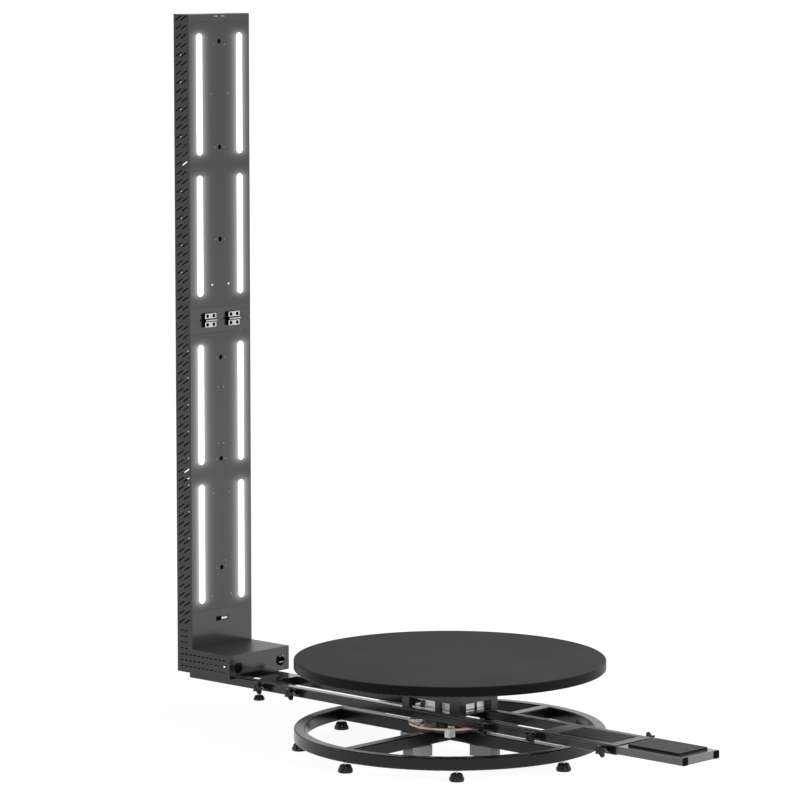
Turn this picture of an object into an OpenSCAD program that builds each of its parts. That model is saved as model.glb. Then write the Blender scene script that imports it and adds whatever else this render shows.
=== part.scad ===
// Walk-around figure scanner: a fixed round platform on a floor ring, and an arm that turns under it,
// with a folding mast of lights and cameras at one end and sliding counterweights at the other.
// Millimetres. The origin is on the turning axis at the floor, +Z up, mast towards -X.

/* [Platform] */
// Diameter of the round platform
platform_d = 1000; // [800:10:1200]
// Thickness of the platform at its rim
platform_t = 34; // [26:1:40]
// Height of the platform's top above the floor
platform_z = 299; // [290:1:340]
// Thickness of the board inside the rim
board_t = 19; // [12:1:24]
// Width of the rim under the board
rim_w = 28; // [20:1:60]

/* [Base] */
// Outside diameter of the floor ring
ring_d = 1000; // [900:10:1200]
// Width of the ring's tube
ring_w = 36; // [30:1:50]
// Height of the ring's tube and of the cross beams
ring_h = 40; // [34:1:44]
// Height of the ring's underside above the floor
ring_z = 35; // [32:1:40]
// Width of the cross beams
beam_w = 40; // [30:1:50]
// Wall of the base tubes
base_wall = 2.5; // [2:0.5:3.5]
// Corner radius of the base tubes
base_tube_r = 4.5; // [4:0.5:6]
// Length of each centre leg along its beam
leg_length = 90; // [60:1:120]
// Width of each centre leg
leg_w = 44; // [36:1:60]
// Distance from the turning axis to a leg
leg_distance = 106; // [80:1:130]

/* [Levelling feet] */
// Diameter of a levelling foot
foot_d = 48; // [36:1:60]
// Height of a levelling foot's hand wheel
foot_h = 26; // [22:1:30]
// Diameter of a levelling foot's stud
foot_stud_d = 10; // [6:1:14]
// Grip notches around a levelling foot
foot_notches = 7; // [5:1:9]

/* [Hub] */
// Diameter of the fixed column below the gear
column_d = 80; // [72:1:84]
// Diameter of the column's neck above the gear
neck_d = 44; // [36:1:48]
// Wall of the column and its neck
column_wall = 8; // [6:0.5:12]
// Diameter of the column's foot flange
foot_flange_d = 220; // [190:1:240]
// Thickness of the column's foot flange
foot_flange_t = 8; // [6:1:12]
// Diameter of the flange under the platform
head_flange_d = 300; // [240:1:360]
// Thickness of the flange under the platform
head_flange_t = 10; // [6:1:16]
// Radial width of a hub bearing
bearing_w = 12; // [9:0.5:13]
// Height of a hub bearing
bearing_t = 14; // [12:1:16]
// Tooth module of the turning drive
gear_module = 2.4; // [2.3:0.05:2.5]
// Teeth of the fixed gear
sun_teeth = 40; // [40:1:42]
// Teeth of the drive pinion
pinion_teeth = 16; // [15:1:17]
// Face width of the fixed gear
gear_t = 10; // [8:1:14]
// Diameter of the drive motor
motor_d = 42; // [36:1:44]
// Length of the drive motor
motor_l = 58; // [40:1:62]
// Outside diameter of the copper slip ring
slip_ring_d = 268; // [250:1:280]
// Radial thickness of the slip ring
slip_ring_t = 6; // [4:1:10]
// Height of the slip ring
slip_ring_h = 6; // [5:1:10]

/* [Arm] */
// Overall width of the arm
arm_w = 180; // [170:1:220]
// Size of the square rail tubes
rail = 30; // [28:1:34]
// Wall of the rail tubes
rail_wall = 2; // [1.5:0.5:3]
// Corner radius of the rail tubes
tube_r = 3.5; // [3.2:0.1:5]
// Height of the rails' underside above the floor
rail_z = 104; // [100:1:108]
// Distance from the axis to the joint on the mast's side
arm_left = 776; // [740:1:800]
// Distance from the axis to the joint on the weights' side
arm_right = 486; // [470:1:520]
// Width of the cross bars between the rails
bar_w = 28; // [24:1:36]
// Distance from the foot box's front to the bar under it
box_bar_in = 81; // [40:1:120]
// Width of the outer cross bars of the arm and of the weight section on the weights' side
wide_bar = 40; // [30:1:50]
// Depth that the sleeves reach into the arm on the mast's side
mast_sleeve = 216; // [200:1:300]
// Depth that the sleeves reach into the arm on the weights' side
weight_sleeve = 286; // [260:1:320]

/* [Hub cage] */
// Length of the cage along the arm
cage_l = 249; // [245:1:280]
// Thickness of the cage's floor plate
cage_floor_t = 4; // [3:1:8]
// Height of the cage's windows
window_h = 34; // [30:1:38]
// Width of the upright in each side window
window_bar = 18; // [10:1:24]
// Distance from the axis to the upright in each side window
window_bar_x = 27; // [0:1:40]
// Width of the cage's posts on the weights' side
wide_post = 44; // [32:1:50]
// Thickness of the bright floor plate inside the cage
hub_floor_t = 7; // [5:1:8]

/* [Clamp knobs] */
// Diameter of a star knob
knob_d = 46; // [36:1:50]
// Thickness of a star knob
knob_t = 19; // [10:1:22]
// Length of the neck that holds a knob off its rail
knob_neck = 17; // [10:1:24]
// Diameter of a knob's stud
knob_stud_d = 8; // [6:1:10]
// Arms of a star knob
knob_arms = 5; // [4:1:7]
// Distance from the arm's end to the outer knobs on the mast's side
mast_knob_edge = 23; // [18:1:40]
// Distance from the arm's end to the inner knobs on the mast's side
mast_knob_second = 170; // [120:1:190]
// Distance from the arm's end to the outer knobs on the weights' side
weight_knob_edge = 39; // [30:1:60]
// Distance from the arm's end to the inner knob on the weights' side
weight_knob_second = 239; // [180:1:250]
// Distance from the weight section's end to the knobs that hold the tray
tray_knob_edge = 35; // [24:1:60]
// Diameter of the hand wheel under the mast section
under_d = 38; // [30:1:44]
// Height of the hand wheel under the mast section
under_h = 17; // [14:1:26]
// Distance from the rail down to that hand wheel
under_drop = 20; // [8:1:24]
// Distance from the arm's end to that hand wheel
under_knob_edge = 15; // [12:1:24]

/* [Mast] */
// Width of the mast and of its foot box
mast_w = 280; // [250:1:320]
// Depth of the mast
mast_d = 71; // [60:1:90]
// Distance from the axis to the mast's back
mast_back = 1113; // [1100:1:1200]
// Height of the mast's top above the floor
mast_top = 2335; // [2200:1:2450]
// Height of the fold in the mast
fold_z = 1318; // [1290:1:1340]
// Distance from the axis to the foot box's front
box_front = 864; // [840:1:880]
// Height of the foot box
box_h = 80; // [74:1:100]
// Thickness of the sheet metal
sheet_t = 2; // [1.5:0.5:3]
// Distance from the front's edges to a front panel
panel_inset = 6; // [4:1:12]
// Corner radius of a front panel
panel_r = 12; // [6:1:20]
// Distance from the fold to a front panel
panel_fold = 42; // [36:1:70]
// Distance from the mast's top to the upper front panel
panel_head = 25; // [16:1:40]
// Distance from the foot box to the lower front panel
panel_foot = 124; // [110:1:140]
// Width of a hand hold in the mast's back
hold_w = 210; // [120:1:230]
// Height of a hand hold in the mast's back
hold_h = 42; // [36:1:60]
// Distance from the fold to a hand hold
hold_fold = 518; // [480:1:560]

/* [Lights and cameras] */
// Width of a light bar
light_w = 24.5; // [18:0.5:32]
// Distance from the mast's centre line to a light bar
light_y = 92.5; // [80:0.5:96]
// Distance from a panel's end at the fold to its light bars
light_fold_margin = 39; // [20:1:60]
// Distance from the upper panel's top to its light bars
light_top_margin = 39; // [20:1:60]
// Distance from the lower panel's foot to its light bars
light_foot_margin = 27; // [20:1:60]
// Distance between two light bars in one line
light_gap = 68; // [40:1:100]
// Height that a light bar stands out of the front
light_proud = 1.5; // [0.5:0.5:3]
// Diameter of a camera's lens barrel
lens_d = 16; // [10:1:22]
// Size of a square camera module
camera_size = 40; // [30:1:50]
// Depth of a camera module
camera_depth = 22; // [16:1:30]
// Depth of the lens behind the front
lens_deep = 9; // [4:1:12]
// Distance from the upper panel's top to its top camera
upper_camera_top = 66; // [40:1:90]
// Height of the upper panel's middle camera over the gap between the light bars
upper_camera_mid = 58; // [0:1:80]
// Distance from the fold end of the upper panel to its low camera
upper_camera_low = 226; // [140:1:240]
// Distance from the fold end of the lower panel to its top camera
lower_camera_top = 86; // [40:1:120]
// Height of the lower panel's middle camera over the gap between the light bars
lower_camera_mid = 47; // [0:1:80]
// Distance from the lower panel's foot to its low camera
lower_camera_low = 140; // [80:1:180]

/* [Fold hinges] */
// Width of a hinge
hinge_w = 52; // [44:1:64]
// Height of a hinge, both leaves
hinge_h = 46; // [40:1:60]
// Thickness of a hinge leaf
leaf_t = 9.7; // [8:0.1:12]
// Distance from the mast's centre line to a hinge
hinge_y = 54.5; // [40:0.5:60]
// Diameter of a hinge barrel
barrel_d = 10; // [9:0.5:12]
// Diameter of a hinge pin
hinge_pin_d = 5; // [4:0.5:6]
// Diameter of a screw hole in a hinge leaf
hinge_hole_d = 9; // [5:0.5:10]

/* [Vents] */
// Length of a slanted vent slot
slot_l = 31; // [20:1:34]
// Width of a slanted vent slot
slot_w = 4.5; // [3:0.5:6]
// Slant of the vent slots
slot_slant = 30; // [20:1:40]
// Height from one vent slot to the next
slot_pitch = 30; // [24:0.1:40]
// Distance from the mast's back to the first column of slots
slot_edge = 22; // [18:1:28]
// Distance between the two columns of slots
slot_gap = 26; // [18:1:30]
// Distance from the fold to the first slot above it
slot_above = 14.5; // [10:0.5:30]
// Distance from the fold to the first slot below it
slot_below = 21.5; // [10:0.5:30]
// Length of a short vent dash
dash_l = 13; // [8:1:15]
// Height of a short vent dash
dash_h = 4; // [3:0.5:6]
// Distance from one vent dash to the next
dash_pitch = 20; // [18:0.5:24]
// Height of the lowest row of dashes over the foot box's floor
dash_low = 21; // [14:1:30]

/* [Foot box fittings] */
// Distance from the centre line to the power button
button_y = 99; // [80:1:104]
// Diameter of the power button
button_d = 25; // [18:1:28]
// Outside diameter of the button's and the socket's collars
collar_d = 35; // [30:1:40]
// Distance from the centre line to the power socket
socket_y = 99; // [80:1:104]
// Height of the button and the socket over the foot box's floor
fitting_up = 35; // [28:1:50]
// Diameter of the power socket's mouth
socket_d = 24; // [16:1:26]
// Depth of the power socket's mouth
socket_deep = 10; // [6:1:16]
// Travel of the power button
button_travel = 3; // [2:0.5:4]

/* [Counterweights] */
// Distance from the axis to the end of the weight section
weight_end = 768; // [750:1:800]
// Distance from the axis to the end of the tray
tray_end = 1032; // [1000:1:1060]
// Depth that the tray's rails reach into the weight section
tray_reach = 170; // [140:1:190]
// Height that the inner weight stands over the rails
weight_proud = 1.3; // [0:0.1:4]
// Thickness of the tray's weight plate
plate_t = 8; // [6:1:20]
// Flat bearing of the weight plate on each tray rail
plate_seat = 1; // [0.5:0.5:6]
// Diameter of the lifting hole in a weight
lift_hole_d = 10; // [6:1:16]
// Distance from a weight's end to its lifting hole
lift_hole_edge = 24; // [16:1:40]
// Width of the straps under the inner weight
strap_w = 20; // [12:1:30]
// Thickness of the straps under the inner weight
strap_t = 4; // [3:1:6]

/* [Clearances] */
// Radial clearance of a shaft that turns in its hole
run_fit = 0.05; // [0.02:0.01:0.1]
// Clearance of a sleeve on each side in its rail
slide_fit = 0.3; // [0.2:0.1:0.5]
// Clearance of a tray rail on each side in its rail
tray_fit = 0.5; // [0.3:0.1:0.8]
// Gap between neighbouring faces that move apart
face_gap = 0.3; // [0.2:0.1:0.5]
// Visible gap round an inset panel or plate
panel_gap = 0.5; // [0.3:0.1:0.9]
// Backlash of each gear flank
backlash = 0.15; // [0.1:0.01:0.25]

/* [Hidden] */
$fn = 64;
sides = [-1, 1];
powder_black = "#2c2c2d";
deep_black = "#151516";

// Heights, from the floor up
beam_top = ring_z + ring_h;
flange_top = beam_top + foot_flange_t;
rail_top = rail_z + rail;
rail_mid = rail_z + rail / 2;
brush_gap = 3;
ring_lift = 5;
block_top = rail_z - brush_gap;
slip_ring_z = flange_top + ring_lift;
cage_floor_top = rail_top + cage_floor_t;
cage_window_top = cage_floor_top + window_h;
cage_top = cage_window_top + rail;
bearing_step = 2;
gear_gap = 3;
lower_bearing_z = rail_top + bearing_step;
shelf_t = 6;
motor_z = cage_window_top;
shelf_z = motor_z - shelf_t;
gear_z = shelf_z - gear_t - gear_gap;
neck_z = gear_z + gear_t + 1;
upper_bearing_z = cage_top - bearing_t - bearing_step;
head_flange_z = platform_z - board_t - head_flange_t;

// Plan sizes
ring_inner_r = ring_d / 2 - ring_w;
ring_mid_r = ring_d / 2 - ring_w / 2;
stud_reach = 20;
rail_y = arm_w / 2 - rail / 2;
rail_bore = rail - 2 * rail_wall;
sleeve = rail_bore - 2 * slide_fit;
tray_bar = rail_bore - 2 * tray_fit;
inner_w = arm_w - 2 * rail;
bore_r = tube_r - rail_wall;
sleeve_r = bore_r + slide_fit;
weld = rail_wall * 0.75;
joint_gap = 0.8;
hub_floor_l = cage_l - 2 * rail - 2 * face_gap;
hub_floor_w = arm_w - rail - 2 * face_gap;

// Turning drive
sun_r = gear_module * sun_teeth / 2;
pinion_r = gear_module * pinion_teeth / 2;
pinion_x = sun_r + pinion_r;
pinion_shaft_d = 8;
pressure_angle = 20;
lower_bearing_r = column_d / 2 + bearing_w;
upper_bearing_r = neck_d / 2 + bearing_w;
bridge_x = pinion_x - motor_d / 2 - 3;

// Mast
mast_front = mast_back - mast_d;
box_z = rail_top;
box_top = box_z + box_h;
fold_gap = face_gap;
hinge_x = -mast_front + leaf_t + face_gap;
fitting_z = box_z + fitting_up;
panel_w = mast_w - 2 * panel_inset;
inside_w = mast_w - 2 * sheet_t;
lower_panel_low = box_top + panel_foot;
lower_panel_high = fold_z - panel_fold;
upper_panel_low = fold_z + panel_fold;
upper_panel_high = mast_top - panel_head;

// Light bars, two in a line on each side of a panel, and the cameras between the lines
lower_lights = [lower_panel_low + light_foot_margin, lower_panel_high - light_fold_margin];
upper_lights = [upper_panel_low + light_fold_margin, upper_panel_high - light_top_margin];
lower_light_l = (lower_lights[1] - lower_lights[0] - light_gap) / 2;
upper_light_l = (upper_lights[1] - upper_lights[0] - light_gap) / 2;
lower_light_z = [lower_lights[0] + lower_light_l / 2, lower_lights[1] - lower_light_l / 2];
upper_light_z = [upper_lights[0] + upper_light_l / 2, upper_lights[1] - upper_light_l / 2];
lower_camera_z = [
    lower_panel_low + lower_camera_low, (lower_light_z[0] + lower_light_z[1]) / 2 + lower_camera_mid,
    lower_panel_high - lower_camera_top];
upper_camera_z = [
    upper_panel_low + upper_camera_low, (upper_light_z[0] + upper_light_z[1]) / 2 + upper_camera_mid,
    upper_panel_high - upper_camera_top];

// Knob places along the arm
knob_mast_outer = arm_left - mast_knob_edge;
knob_mast_inner = arm_left - mast_knob_second;
knob_weight_inner = arm_right - weight_knob_second;
knob_weight_outer = arm_right - weight_knob_edge;
knob_tray = weight_end - tray_knob_edge;
knob_under = arm_left + under_knob_edge;

// Weights
tray_stop = 4;
tray_cap_t = 2;
weight_start = arm_right + joint_gap;
tray_inner_end = weight_end - tray_reach;
tray_bar_start = weight_end + tray_stop;
inner_weight_z = rail_z + strap_t;
inner_weight_top = rail_top + weight_proud;

// Box between two opposite corners
module span(low, high) {
    translate(low) cube(high - low);
}

// Flat outline with rounded corners, centred
module rounded_rect(w, h, r) {
    square([w - 2 * r, h], center = true);
    square([w, h - 2 * r], center = true);
    for (x = sides, y = sides) translate([x * (w / 2 - r), y * (h / 2 - r)]) circle(r);
}

// Lays a flat outline in (Y, Z) along X between two places
module along_x(x0, x1, y, z) {
    translate([x0, y, z]) rotate([90, 0, 90]) linear_extrude(x1 - x0) children();
}

// Square tube along X, open at both ends
module tube_x(x0, x1, y, z, size, wall) {
    bore = size - 2 * wall;
    along_x(x0, x1, y, z) difference() {
        rounded_rect(size, size, tube_r);
        rounded_rect(bore, bore, tube_r - wall);
    }
}

// Square bar along X
module bar_x(x0, x1, y, z, size, r) {
    along_x(x0, x1, y, z) rounded_rect(size, size, r);
}

// Channel across the arm, open below, its ends let into the walls of two rails
module cross_bar(x0, x1, size, z_top, width) {
    half = width / 2 + weld;
    difference() {
        span([x0, -half, z_top - size], [x1, half, z_top]);
        span([x0 + rail_wall, -half - 1, z_top - size - 1], [x1 - rail_wall, half + 1, z_top - rail_wall]);
    }
}

// Threaded hole for a knob's stud in a rail's outer wall
module knob_hole(x, side) {
    translate([x, side * (arm_w / 2 - rail_wall - 0.5), rail_mid]) rotate([-90 * side, 0, 0])
        cylinder(r = knob_stud_d / 2 + run_fit, h = rail_wall + 1);
}

// Floor ring, a square tube rolled to a circle, with a threaded hole for each foot
module base_ring() {
    color(powder_black) difference() {
        rotate_extrude() difference() {
            translate([ring_mid_r, ring_z + ring_h / 2]) rounded_rect(ring_w, ring_h, base_tube_r);
            translate([ring_mid_r, ring_z + ring_h / 2])
                rounded_rect(ring_w - 2 * base_wall, ring_h - 2 * base_wall, base_tube_r - base_wall);
        }
        for (i = [0:7]) rotate(45 * i) translate([ring_mid_r, 0, ring_z - 1])
            cylinder(r = foot_stud_d / 2 + run_fit, h = base_wall + 2);
    }
}

// Cross of square tubes inside the ring: one right across, and two halves that meet its sides
module cross_beams() {
    bore = [beam_w - 2 * base_wall, ring_h - 2 * base_wall];
    mid_z = ring_z + ring_h / 2;
    color(powder_black) intersection() {
        union() {
            along_x(-ring_d / 2, ring_d / 2, 0, mid_z) difference() {
                rounded_rect(beam_w, ring_h, base_tube_r);
                rounded_rect(bore[0], bore[1], base_tube_r - base_wall);
            }
            for (turn = [-90, 90]) rotate(turn) along_x(beam_w / 2 - base_wall / 2, ring_d / 2, 0, mid_z)
                difference() {
                    rounded_rect(beam_w, ring_h, base_tube_r);
                    rounded_rect(bore[0], bore[1], base_tube_r - base_wall);
                }
        }
        cylinder(r = ring_inner_r, h = beam_top + 1);
    }
}

// Four upright tubes that stand on the floor under the beams
module centre_legs() {
    color(powder_black) for (i = [0:3]) rotate(90 * i) difference() {
        span([leg_distance, -leg_w / 2, 0], [leg_distance + leg_length, leg_w / 2, ring_z]);
        span([leg_distance + base_wall, -leg_w / 2 + base_wall, -1],
             [leg_distance + leg_length - base_wall, leg_w / 2 - base_wall, ring_z + 1]);
    }
}

// Fixed column, turned in one piece with its two flanges, hollow for the wiring
module support_column() {
    bore = neck_d / 2 - column_wall;
    color(powder_black) rotate_extrude() polygon([
        [bore, beam_top], [foot_flange_d / 2, beam_top], [foot_flange_d / 2, flange_top],
        [column_d / 2 + 6, flange_top], [column_d / 2 + 6, lower_bearing_z], [column_d / 2, lower_bearing_z],
        [column_d / 2, neck_z], [neck_d / 2, neck_z], [neck_d / 2, head_flange_z],
        [head_flange_d / 2, head_flange_z], [head_flange_d / 2, head_flange_z + head_flange_t],
        [bore, head_flange_z + head_flange_t]]);
}

// Copper ring that feeds the turning arm
module slip_ring() {
    color("#b8674a") rotate_extrude() translate([slip_ring_d / 2 - slip_ring_t, slip_ring_z])
        square([slip_ring_t, slip_ring_h]);
}

// Insulating blocks that carry the slip ring on the column's flange
module slip_ring_blocks() {
    block_w = 20;
    block_in = foot_flange_d / 2 - 14;
    ring_in = slip_ring_d / 2 - slip_ring_t;
    color("#e6dfce") for (i = [0:3]) rotate(45 + 90 * i) intersection() {
        span([block_in, -block_w / 2, flange_top], [ring_in, block_w / 2, block_top]);
        cylinder(r = ring_in, h = block_top + 1);
    }
}

// Clamp at the slip ring's underside and outside, where its lead arrives
module ring_terminal() {
    terminal_w = 20;
    terminal_l = 28;
    drop = 18;
    rise = 10;
    bearing = -47.5;
    at = slip_ring_d / 2 + 12;
    color("#c4c6c8") difference() {
        translate([at * cos(bearing) - terminal_w / 2, at * sin(bearing) - terminal_l / 2, slip_ring_z - drop])
            cube([terminal_w, terminal_l, drop + rise]);
        translate([0, 0, slip_ring_z]) cylinder(d = slip_ring_d + 2 * face_gap, h = rise + 1);
    }
}

// Half the angle of a gear tooth at a given radius
function involute(a) = tan(a) * 180 / PI - a;
function tooth_half(teeth, r, r_pitch) =
    let (r_base = r_pitch * cos(pressure_angle), at = acos(min(1, r_base / max(r, r_base))))
    90 / teeth - backlash / r_pitch * 180 / PI + involute(pressure_angle) - involute(at);

// Outline of a spur gear with involute flanks, a tooth on +X
module gear_outline(teeth) {
    r_pitch = gear_module * teeth / 2;
    r_base = r_pitch * cos(pressure_angle);
    r_root = r_pitch - 1.25 * gear_module;
    r_tip = r_pitch + 0.95 * gear_module;
    flank = [r_root, max(r_base, r_root + 0.01), r_pitch, (r_pitch + r_tip) / 2, r_tip];
    polygon([for (i = [0:teeth - 1], side = sides, k = [0:4])
        let (r = flank[side < 0 ? k : 4 - k], a = 360 * i / teeth + side * tooth_half(teeth, r, r_pitch))
        [r * cos(a), r * sin(a)]]);
}

// Fixed gear on the column, which the drive pinion walks round
module sun_gear() {
    color("#aeb2b6") translate([0, 0, gear_z]) difference() {
        linear_extrude(gear_t) gear_outline(sun_teeth);
        translate([0, 0, -1]) cylinder(d = column_d, h = gear_t + 2);
    }
}

// Bearings between the column and the turning cage
module hub_bearings() {
    color("#9fa3a7") {
        translate([0, 0, lower_bearing_z]) difference() {
            cylinder(r = lower_bearing_r, h = bearing_t);
            translate([0, 0, -1]) cylinder(d = column_d, h = bearing_t + 2);
        }
        translate([0, 0, upper_bearing_z]) difference() {
            cylinder(r = upper_bearing_r, h = bearing_t);
            translate([0, 0, -1]) cylinder(d = neck_d, h = bearing_t + 2);
        }
    }
}

// Round platform with a rim that hides its supporting flange
module platform() {
    edge = 5;
    r = platform_d / 2;
    color("#3a3a3b") rotate_extrude() {
        translate([0, platform_z - board_t]) square([r - edge, board_t]);
        translate([r - rim_w / 2, platform_z - platform_t / 2]) rounded_rect(rim_w, platform_t, edge);
    }
}

// Dome-shaped hand wheel with grip notches that lean in with its side
module notched_wheel(d, h) {
    crown_r = d * 0.33;
    skirt_h = h * 0.42;
    notch_r = d * 0.09;
    lean = atan2(d / 2 - crown_r, h - skirt_h);
    notch_l = (h - skirt_h / 2) / cos(lean) + notch_r;
    difference() {
        rotate_extrude() polygon([
            [0, 0], [d / 2 - 2, 0], [d / 2, 2], [d / 2, skirt_h], [crown_r, h], [0, h]]);
        for (k = [0:foot_notches - 1]) rotate(360 * k / foot_notches)
            translate([d / 2 + 1, 0, skirt_h / 2]) rotate([0, -lean, 0]) cylinder(r = notch_r, h = notch_l);
    }
}

// Levelling foot: a hand wheel under a threaded stud
module levelling_foot(i) {
    color(deep_black) rotate(45 * (i - 1)) translate([ring_mid_r, 0, 0]) {
        notched_wheel(foot_d, foot_h);
        cylinder(d = foot_stud_d, h = ring_z + base_wall + stud_reach);
    }
}

// Middle section of the turning arm: two rails, end bars, and holes for the clamp knobs
module arm_frame() {
    color(powder_black) difference() {
        union() {
            for (side = sides) tube_x(-arm_left, arm_right, side * rail_y, rail_mid, rail, rail_wall);
            cross_bar(-arm_left, -arm_left + bar_w, rail, rail_top, inner_w);
            cross_bar(arm_right - wide_bar, arm_right, rail, rail_top, inner_w);
        }
        for (side = sides, x = [-knob_mast_outer, -knob_mast_inner, knob_weight_outer]) knob_hole(x, side);
        knob_hole(knob_weight_inner, -1);
    }
}

// Turning cage on the arm: bottom frame, posts, top frame and the upper bearing's bridge
module hub_cage() {
    half_l = cage_l / 2;
    half_w = arm_w / 2;
    window_mid = cage_floor_top + window_h / 2;
    color(powder_black) difference() {
        union() {
            difference() {
                span([-half_l, -half_w, rail_top], [half_l, half_w, cage_floor_top]);
                span([-hub_floor_l / 2 - face_gap, -hub_floor_w / 2 - face_gap, rail_top - 1],
                     [hub_floor_l / 2 + face_gap, hub_floor_w / 2 + face_gap, cage_floor_top + 1]);
            }
            for (y = sides) {
                for (x = sides) translate([x * (half_l - rail / 2), y * (half_w - rail / 2), window_mid])
                    cube([rail, rail, window_h], center = true);
                translate([half_l - wide_post / 2, y * (half_w - rail / 4), window_mid])
                    cube([wide_post, rail / 2, window_h], center = true);
                translate([window_bar_x, y * (half_w - rail / 4), window_mid])
                    cube([window_bar, rail / 2, window_h], center = true);
            }
            difference() {
                span([-half_l, -half_w, cage_window_top], [half_l, half_w, cage_top]);
                span([-half_l + rail, -half_w + rail, cage_window_top - 1],
                     [half_l - rail, half_w - rail, cage_top + 1]);
            }
            span([-half_l + rail / 2, -half_w + rail / 2, upper_bearing_z],
                 [bridge_x, half_w - rail / 2, upper_bearing_z + bearing_t]);
        }
        translate([0, 0, upper_bearing_z - 1]) cylinder(r = upper_bearing_r + run_fit, h = bearing_t + 2);
    }
}

// Bright plates inside the cage: the floor with the lower bearing's seat, and the skirted motor shelf
module hub_plates() {
    seat_r = lower_bearing_r + run_fit;
    seat_h = bearing_t - 4;
    skirt_t = 4;
    skirt_z = rail_top + seat_h + 2;
    skirt_in = lower_bearing_r + 2;
    skirt_out = skirt_in + skirt_t;
    shelf_half = hub_floor_w / 2;
    shelf_x0 = -hub_floor_l / 2 + 24;
    shelf_x1 = hub_floor_l / 2;
    color("#c9ccd0") {
        difference() {
            union() {
                span([-hub_floor_l / 2, -hub_floor_w / 2, rail_top],
                     [hub_floor_l / 2, hub_floor_w / 2, rail_top + hub_floor_t]);
                translate([0, 0, rail_top]) cylinder(r = seat_r + 6, h = seat_h);
            }
            translate([0, 0, rail_top - 1]) cylinder(r = seat_r, h = seat_h + 2);
        }
        difference() {
            union() {
                span([shelf_x0, -shelf_half, shelf_z], [shelf_x1, shelf_half, motor_z]);
                difference() {
                    span([shelf_x0, -skirt_out, skirt_z], [shelf_x1, skirt_out, shelf_z + 1]);
                    span([shelf_x0 - 1, -skirt_in, skirt_z - 1], [shelf_x1 - skirt_t, skirt_in, shelf_z + 2]);
                }
            }
            translate([0, 0, shelf_z - 1]) cylinder(d = column_d + 6, h = shelf_t + 2);
            translate([pinion_x, 0, shelf_z - 1]) cylinder(d = pinion_shaft_d + 8, h = shelf_t + 2);
        }
    }
}

// Upright gear motor on the shelf inside the cage
module drive_motor() {
    cap_h = 10;
    color("#b9bcc0") translate([pinion_x, 0, motor_z]) difference() {
        union() {
            cylinder(d = motor_d, h = motor_l - cap_h);
            cylinder(d = motor_d - 8, h = motor_l);
        }
        translate([0, 0, -1]) cylinder(d = pinion_shaft_d + 2 * run_fit, h = motor_l / 2 + 1);
    }
}

// Brush holders under the far rail, each with a narrow brush above the slip ring
module brush_holders() {
    brush_r = slip_ring_d / 2 - slip_ring_t / 2;
    brush_x = sqrt(brush_r * brush_r - rail_y * rail_y);
    brush_z = slip_ring_z + slip_ring_h + face_gap;
    brush_w = slip_ring_t - 1;
    brush_l = 16;
    holder_l = 26;
    color("#303236") for (x = sides) {
        span([x * brush_x - holder_l / 2, rail_y - rail / 2, block_top + face_gap],
             [x * brush_x + holder_l / 2, rail_y + rail / 2, rail_z]);
        rotate(atan2(rail_y, x * brush_x))
            span([brush_r - brush_w / 2, -brush_l / 2, brush_z],
                 [brush_r + brush_w / 2, brush_l / 2, rail_z]);
    }
}

// Pinion and shaft, a gap between teeth facing the fixed gear
module drive_pinion() {
    turn = pinion_teeth % 2 == 0 ? 180 / pinion_teeth : 0;
    color("#aeb2b6") translate([pinion_x, 0, 0]) {
        translate([0, 0, gear_z - 1]) rotate(turn) linear_extrude(gear_t + 2) gear_outline(pinion_teeth);
        translate([0, 0, gear_z]) cylinder(d = pinion_shaft_d, h = motor_z + motor_l * 0.4 - gear_z);
    }
}

// Mast section of the arm: rails, the sleeves that slide into the arm, and cross bars
module mast_frame() {
    rail_end = arm_left + joint_gap;
    plug_l = 120;
    far_end = mast_back - 6;
    box_bar_x = box_front + box_bar_in;
    color(powder_black) difference() {
        union() {
            for (side = sides) {
                tube_x(-far_end, -rail_end, side * rail_y, rail_mid, rail, rail_wall);
                bar_x(-rail_end - plug_l, -rail_end, side * rail_y, rail_mid, rail_bore, bore_r);
                bar_x(-rail_end - 1, -arm_left + mast_sleeve, side * rail_y, rail_mid, sleeve, sleeve_r);
            }
            cross_bar(-rail_end - bar_w, -rail_end, rail, rail_top, inner_w);
            cross_bar(-far_end, -far_end + bar_w, rail, rail_top, inner_w);
            cross_bar(-box_bar_x - bar_w, -box_bar_x, rail, rail_top, inner_w);
        }
        translate([-knob_under, -rail_y, rail_z - 1])
            cylinder(r = knob_stud_d / 2 + run_fit, h = rail_wall + 1);
    }
}

// Slanted vent slots of one mast half, cut through both cheeks, from the fold outwards
module vent_slots(z0, count, step) {
    for (i = [0:count - 1], column = [0, 1])
        translate([-mast_back + slot_edge + column * slot_gap, 0, z0 + step * i * slot_pitch])
            rotate([0, -slot_slant, 0]) cube([slot_l, mast_w + 2, slot_w], center = true);
}

// Short vent dashes of the foot: three long rows in the box and short rows above it
module vent_dashes() {
    long_rows = 3;
    short_rows = 4;
    low = box_z + dash_low;
    columns = floor((mast_back - box_front - 2 * slot_edge + 10) / dash_pitch);
    for (row = [0:long_rows + short_rows - 1], k = [0:row < long_rows ? columns : 1])
        translate([-mast_back + slot_edge + k * dash_pitch, 0, low + row * dash_pitch])
            cube([dash_l, mast_w + 2, dash_h], center = true);
}

// Two side plates, one at each side of the mast
module cheek_pair() {
    for (side = sides) translate([0, side * (mast_w - sheet_t) / 2, 0]) rotate([90, 0, 0])
        linear_extrude(sheet_t, center = true) children();
}

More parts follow.
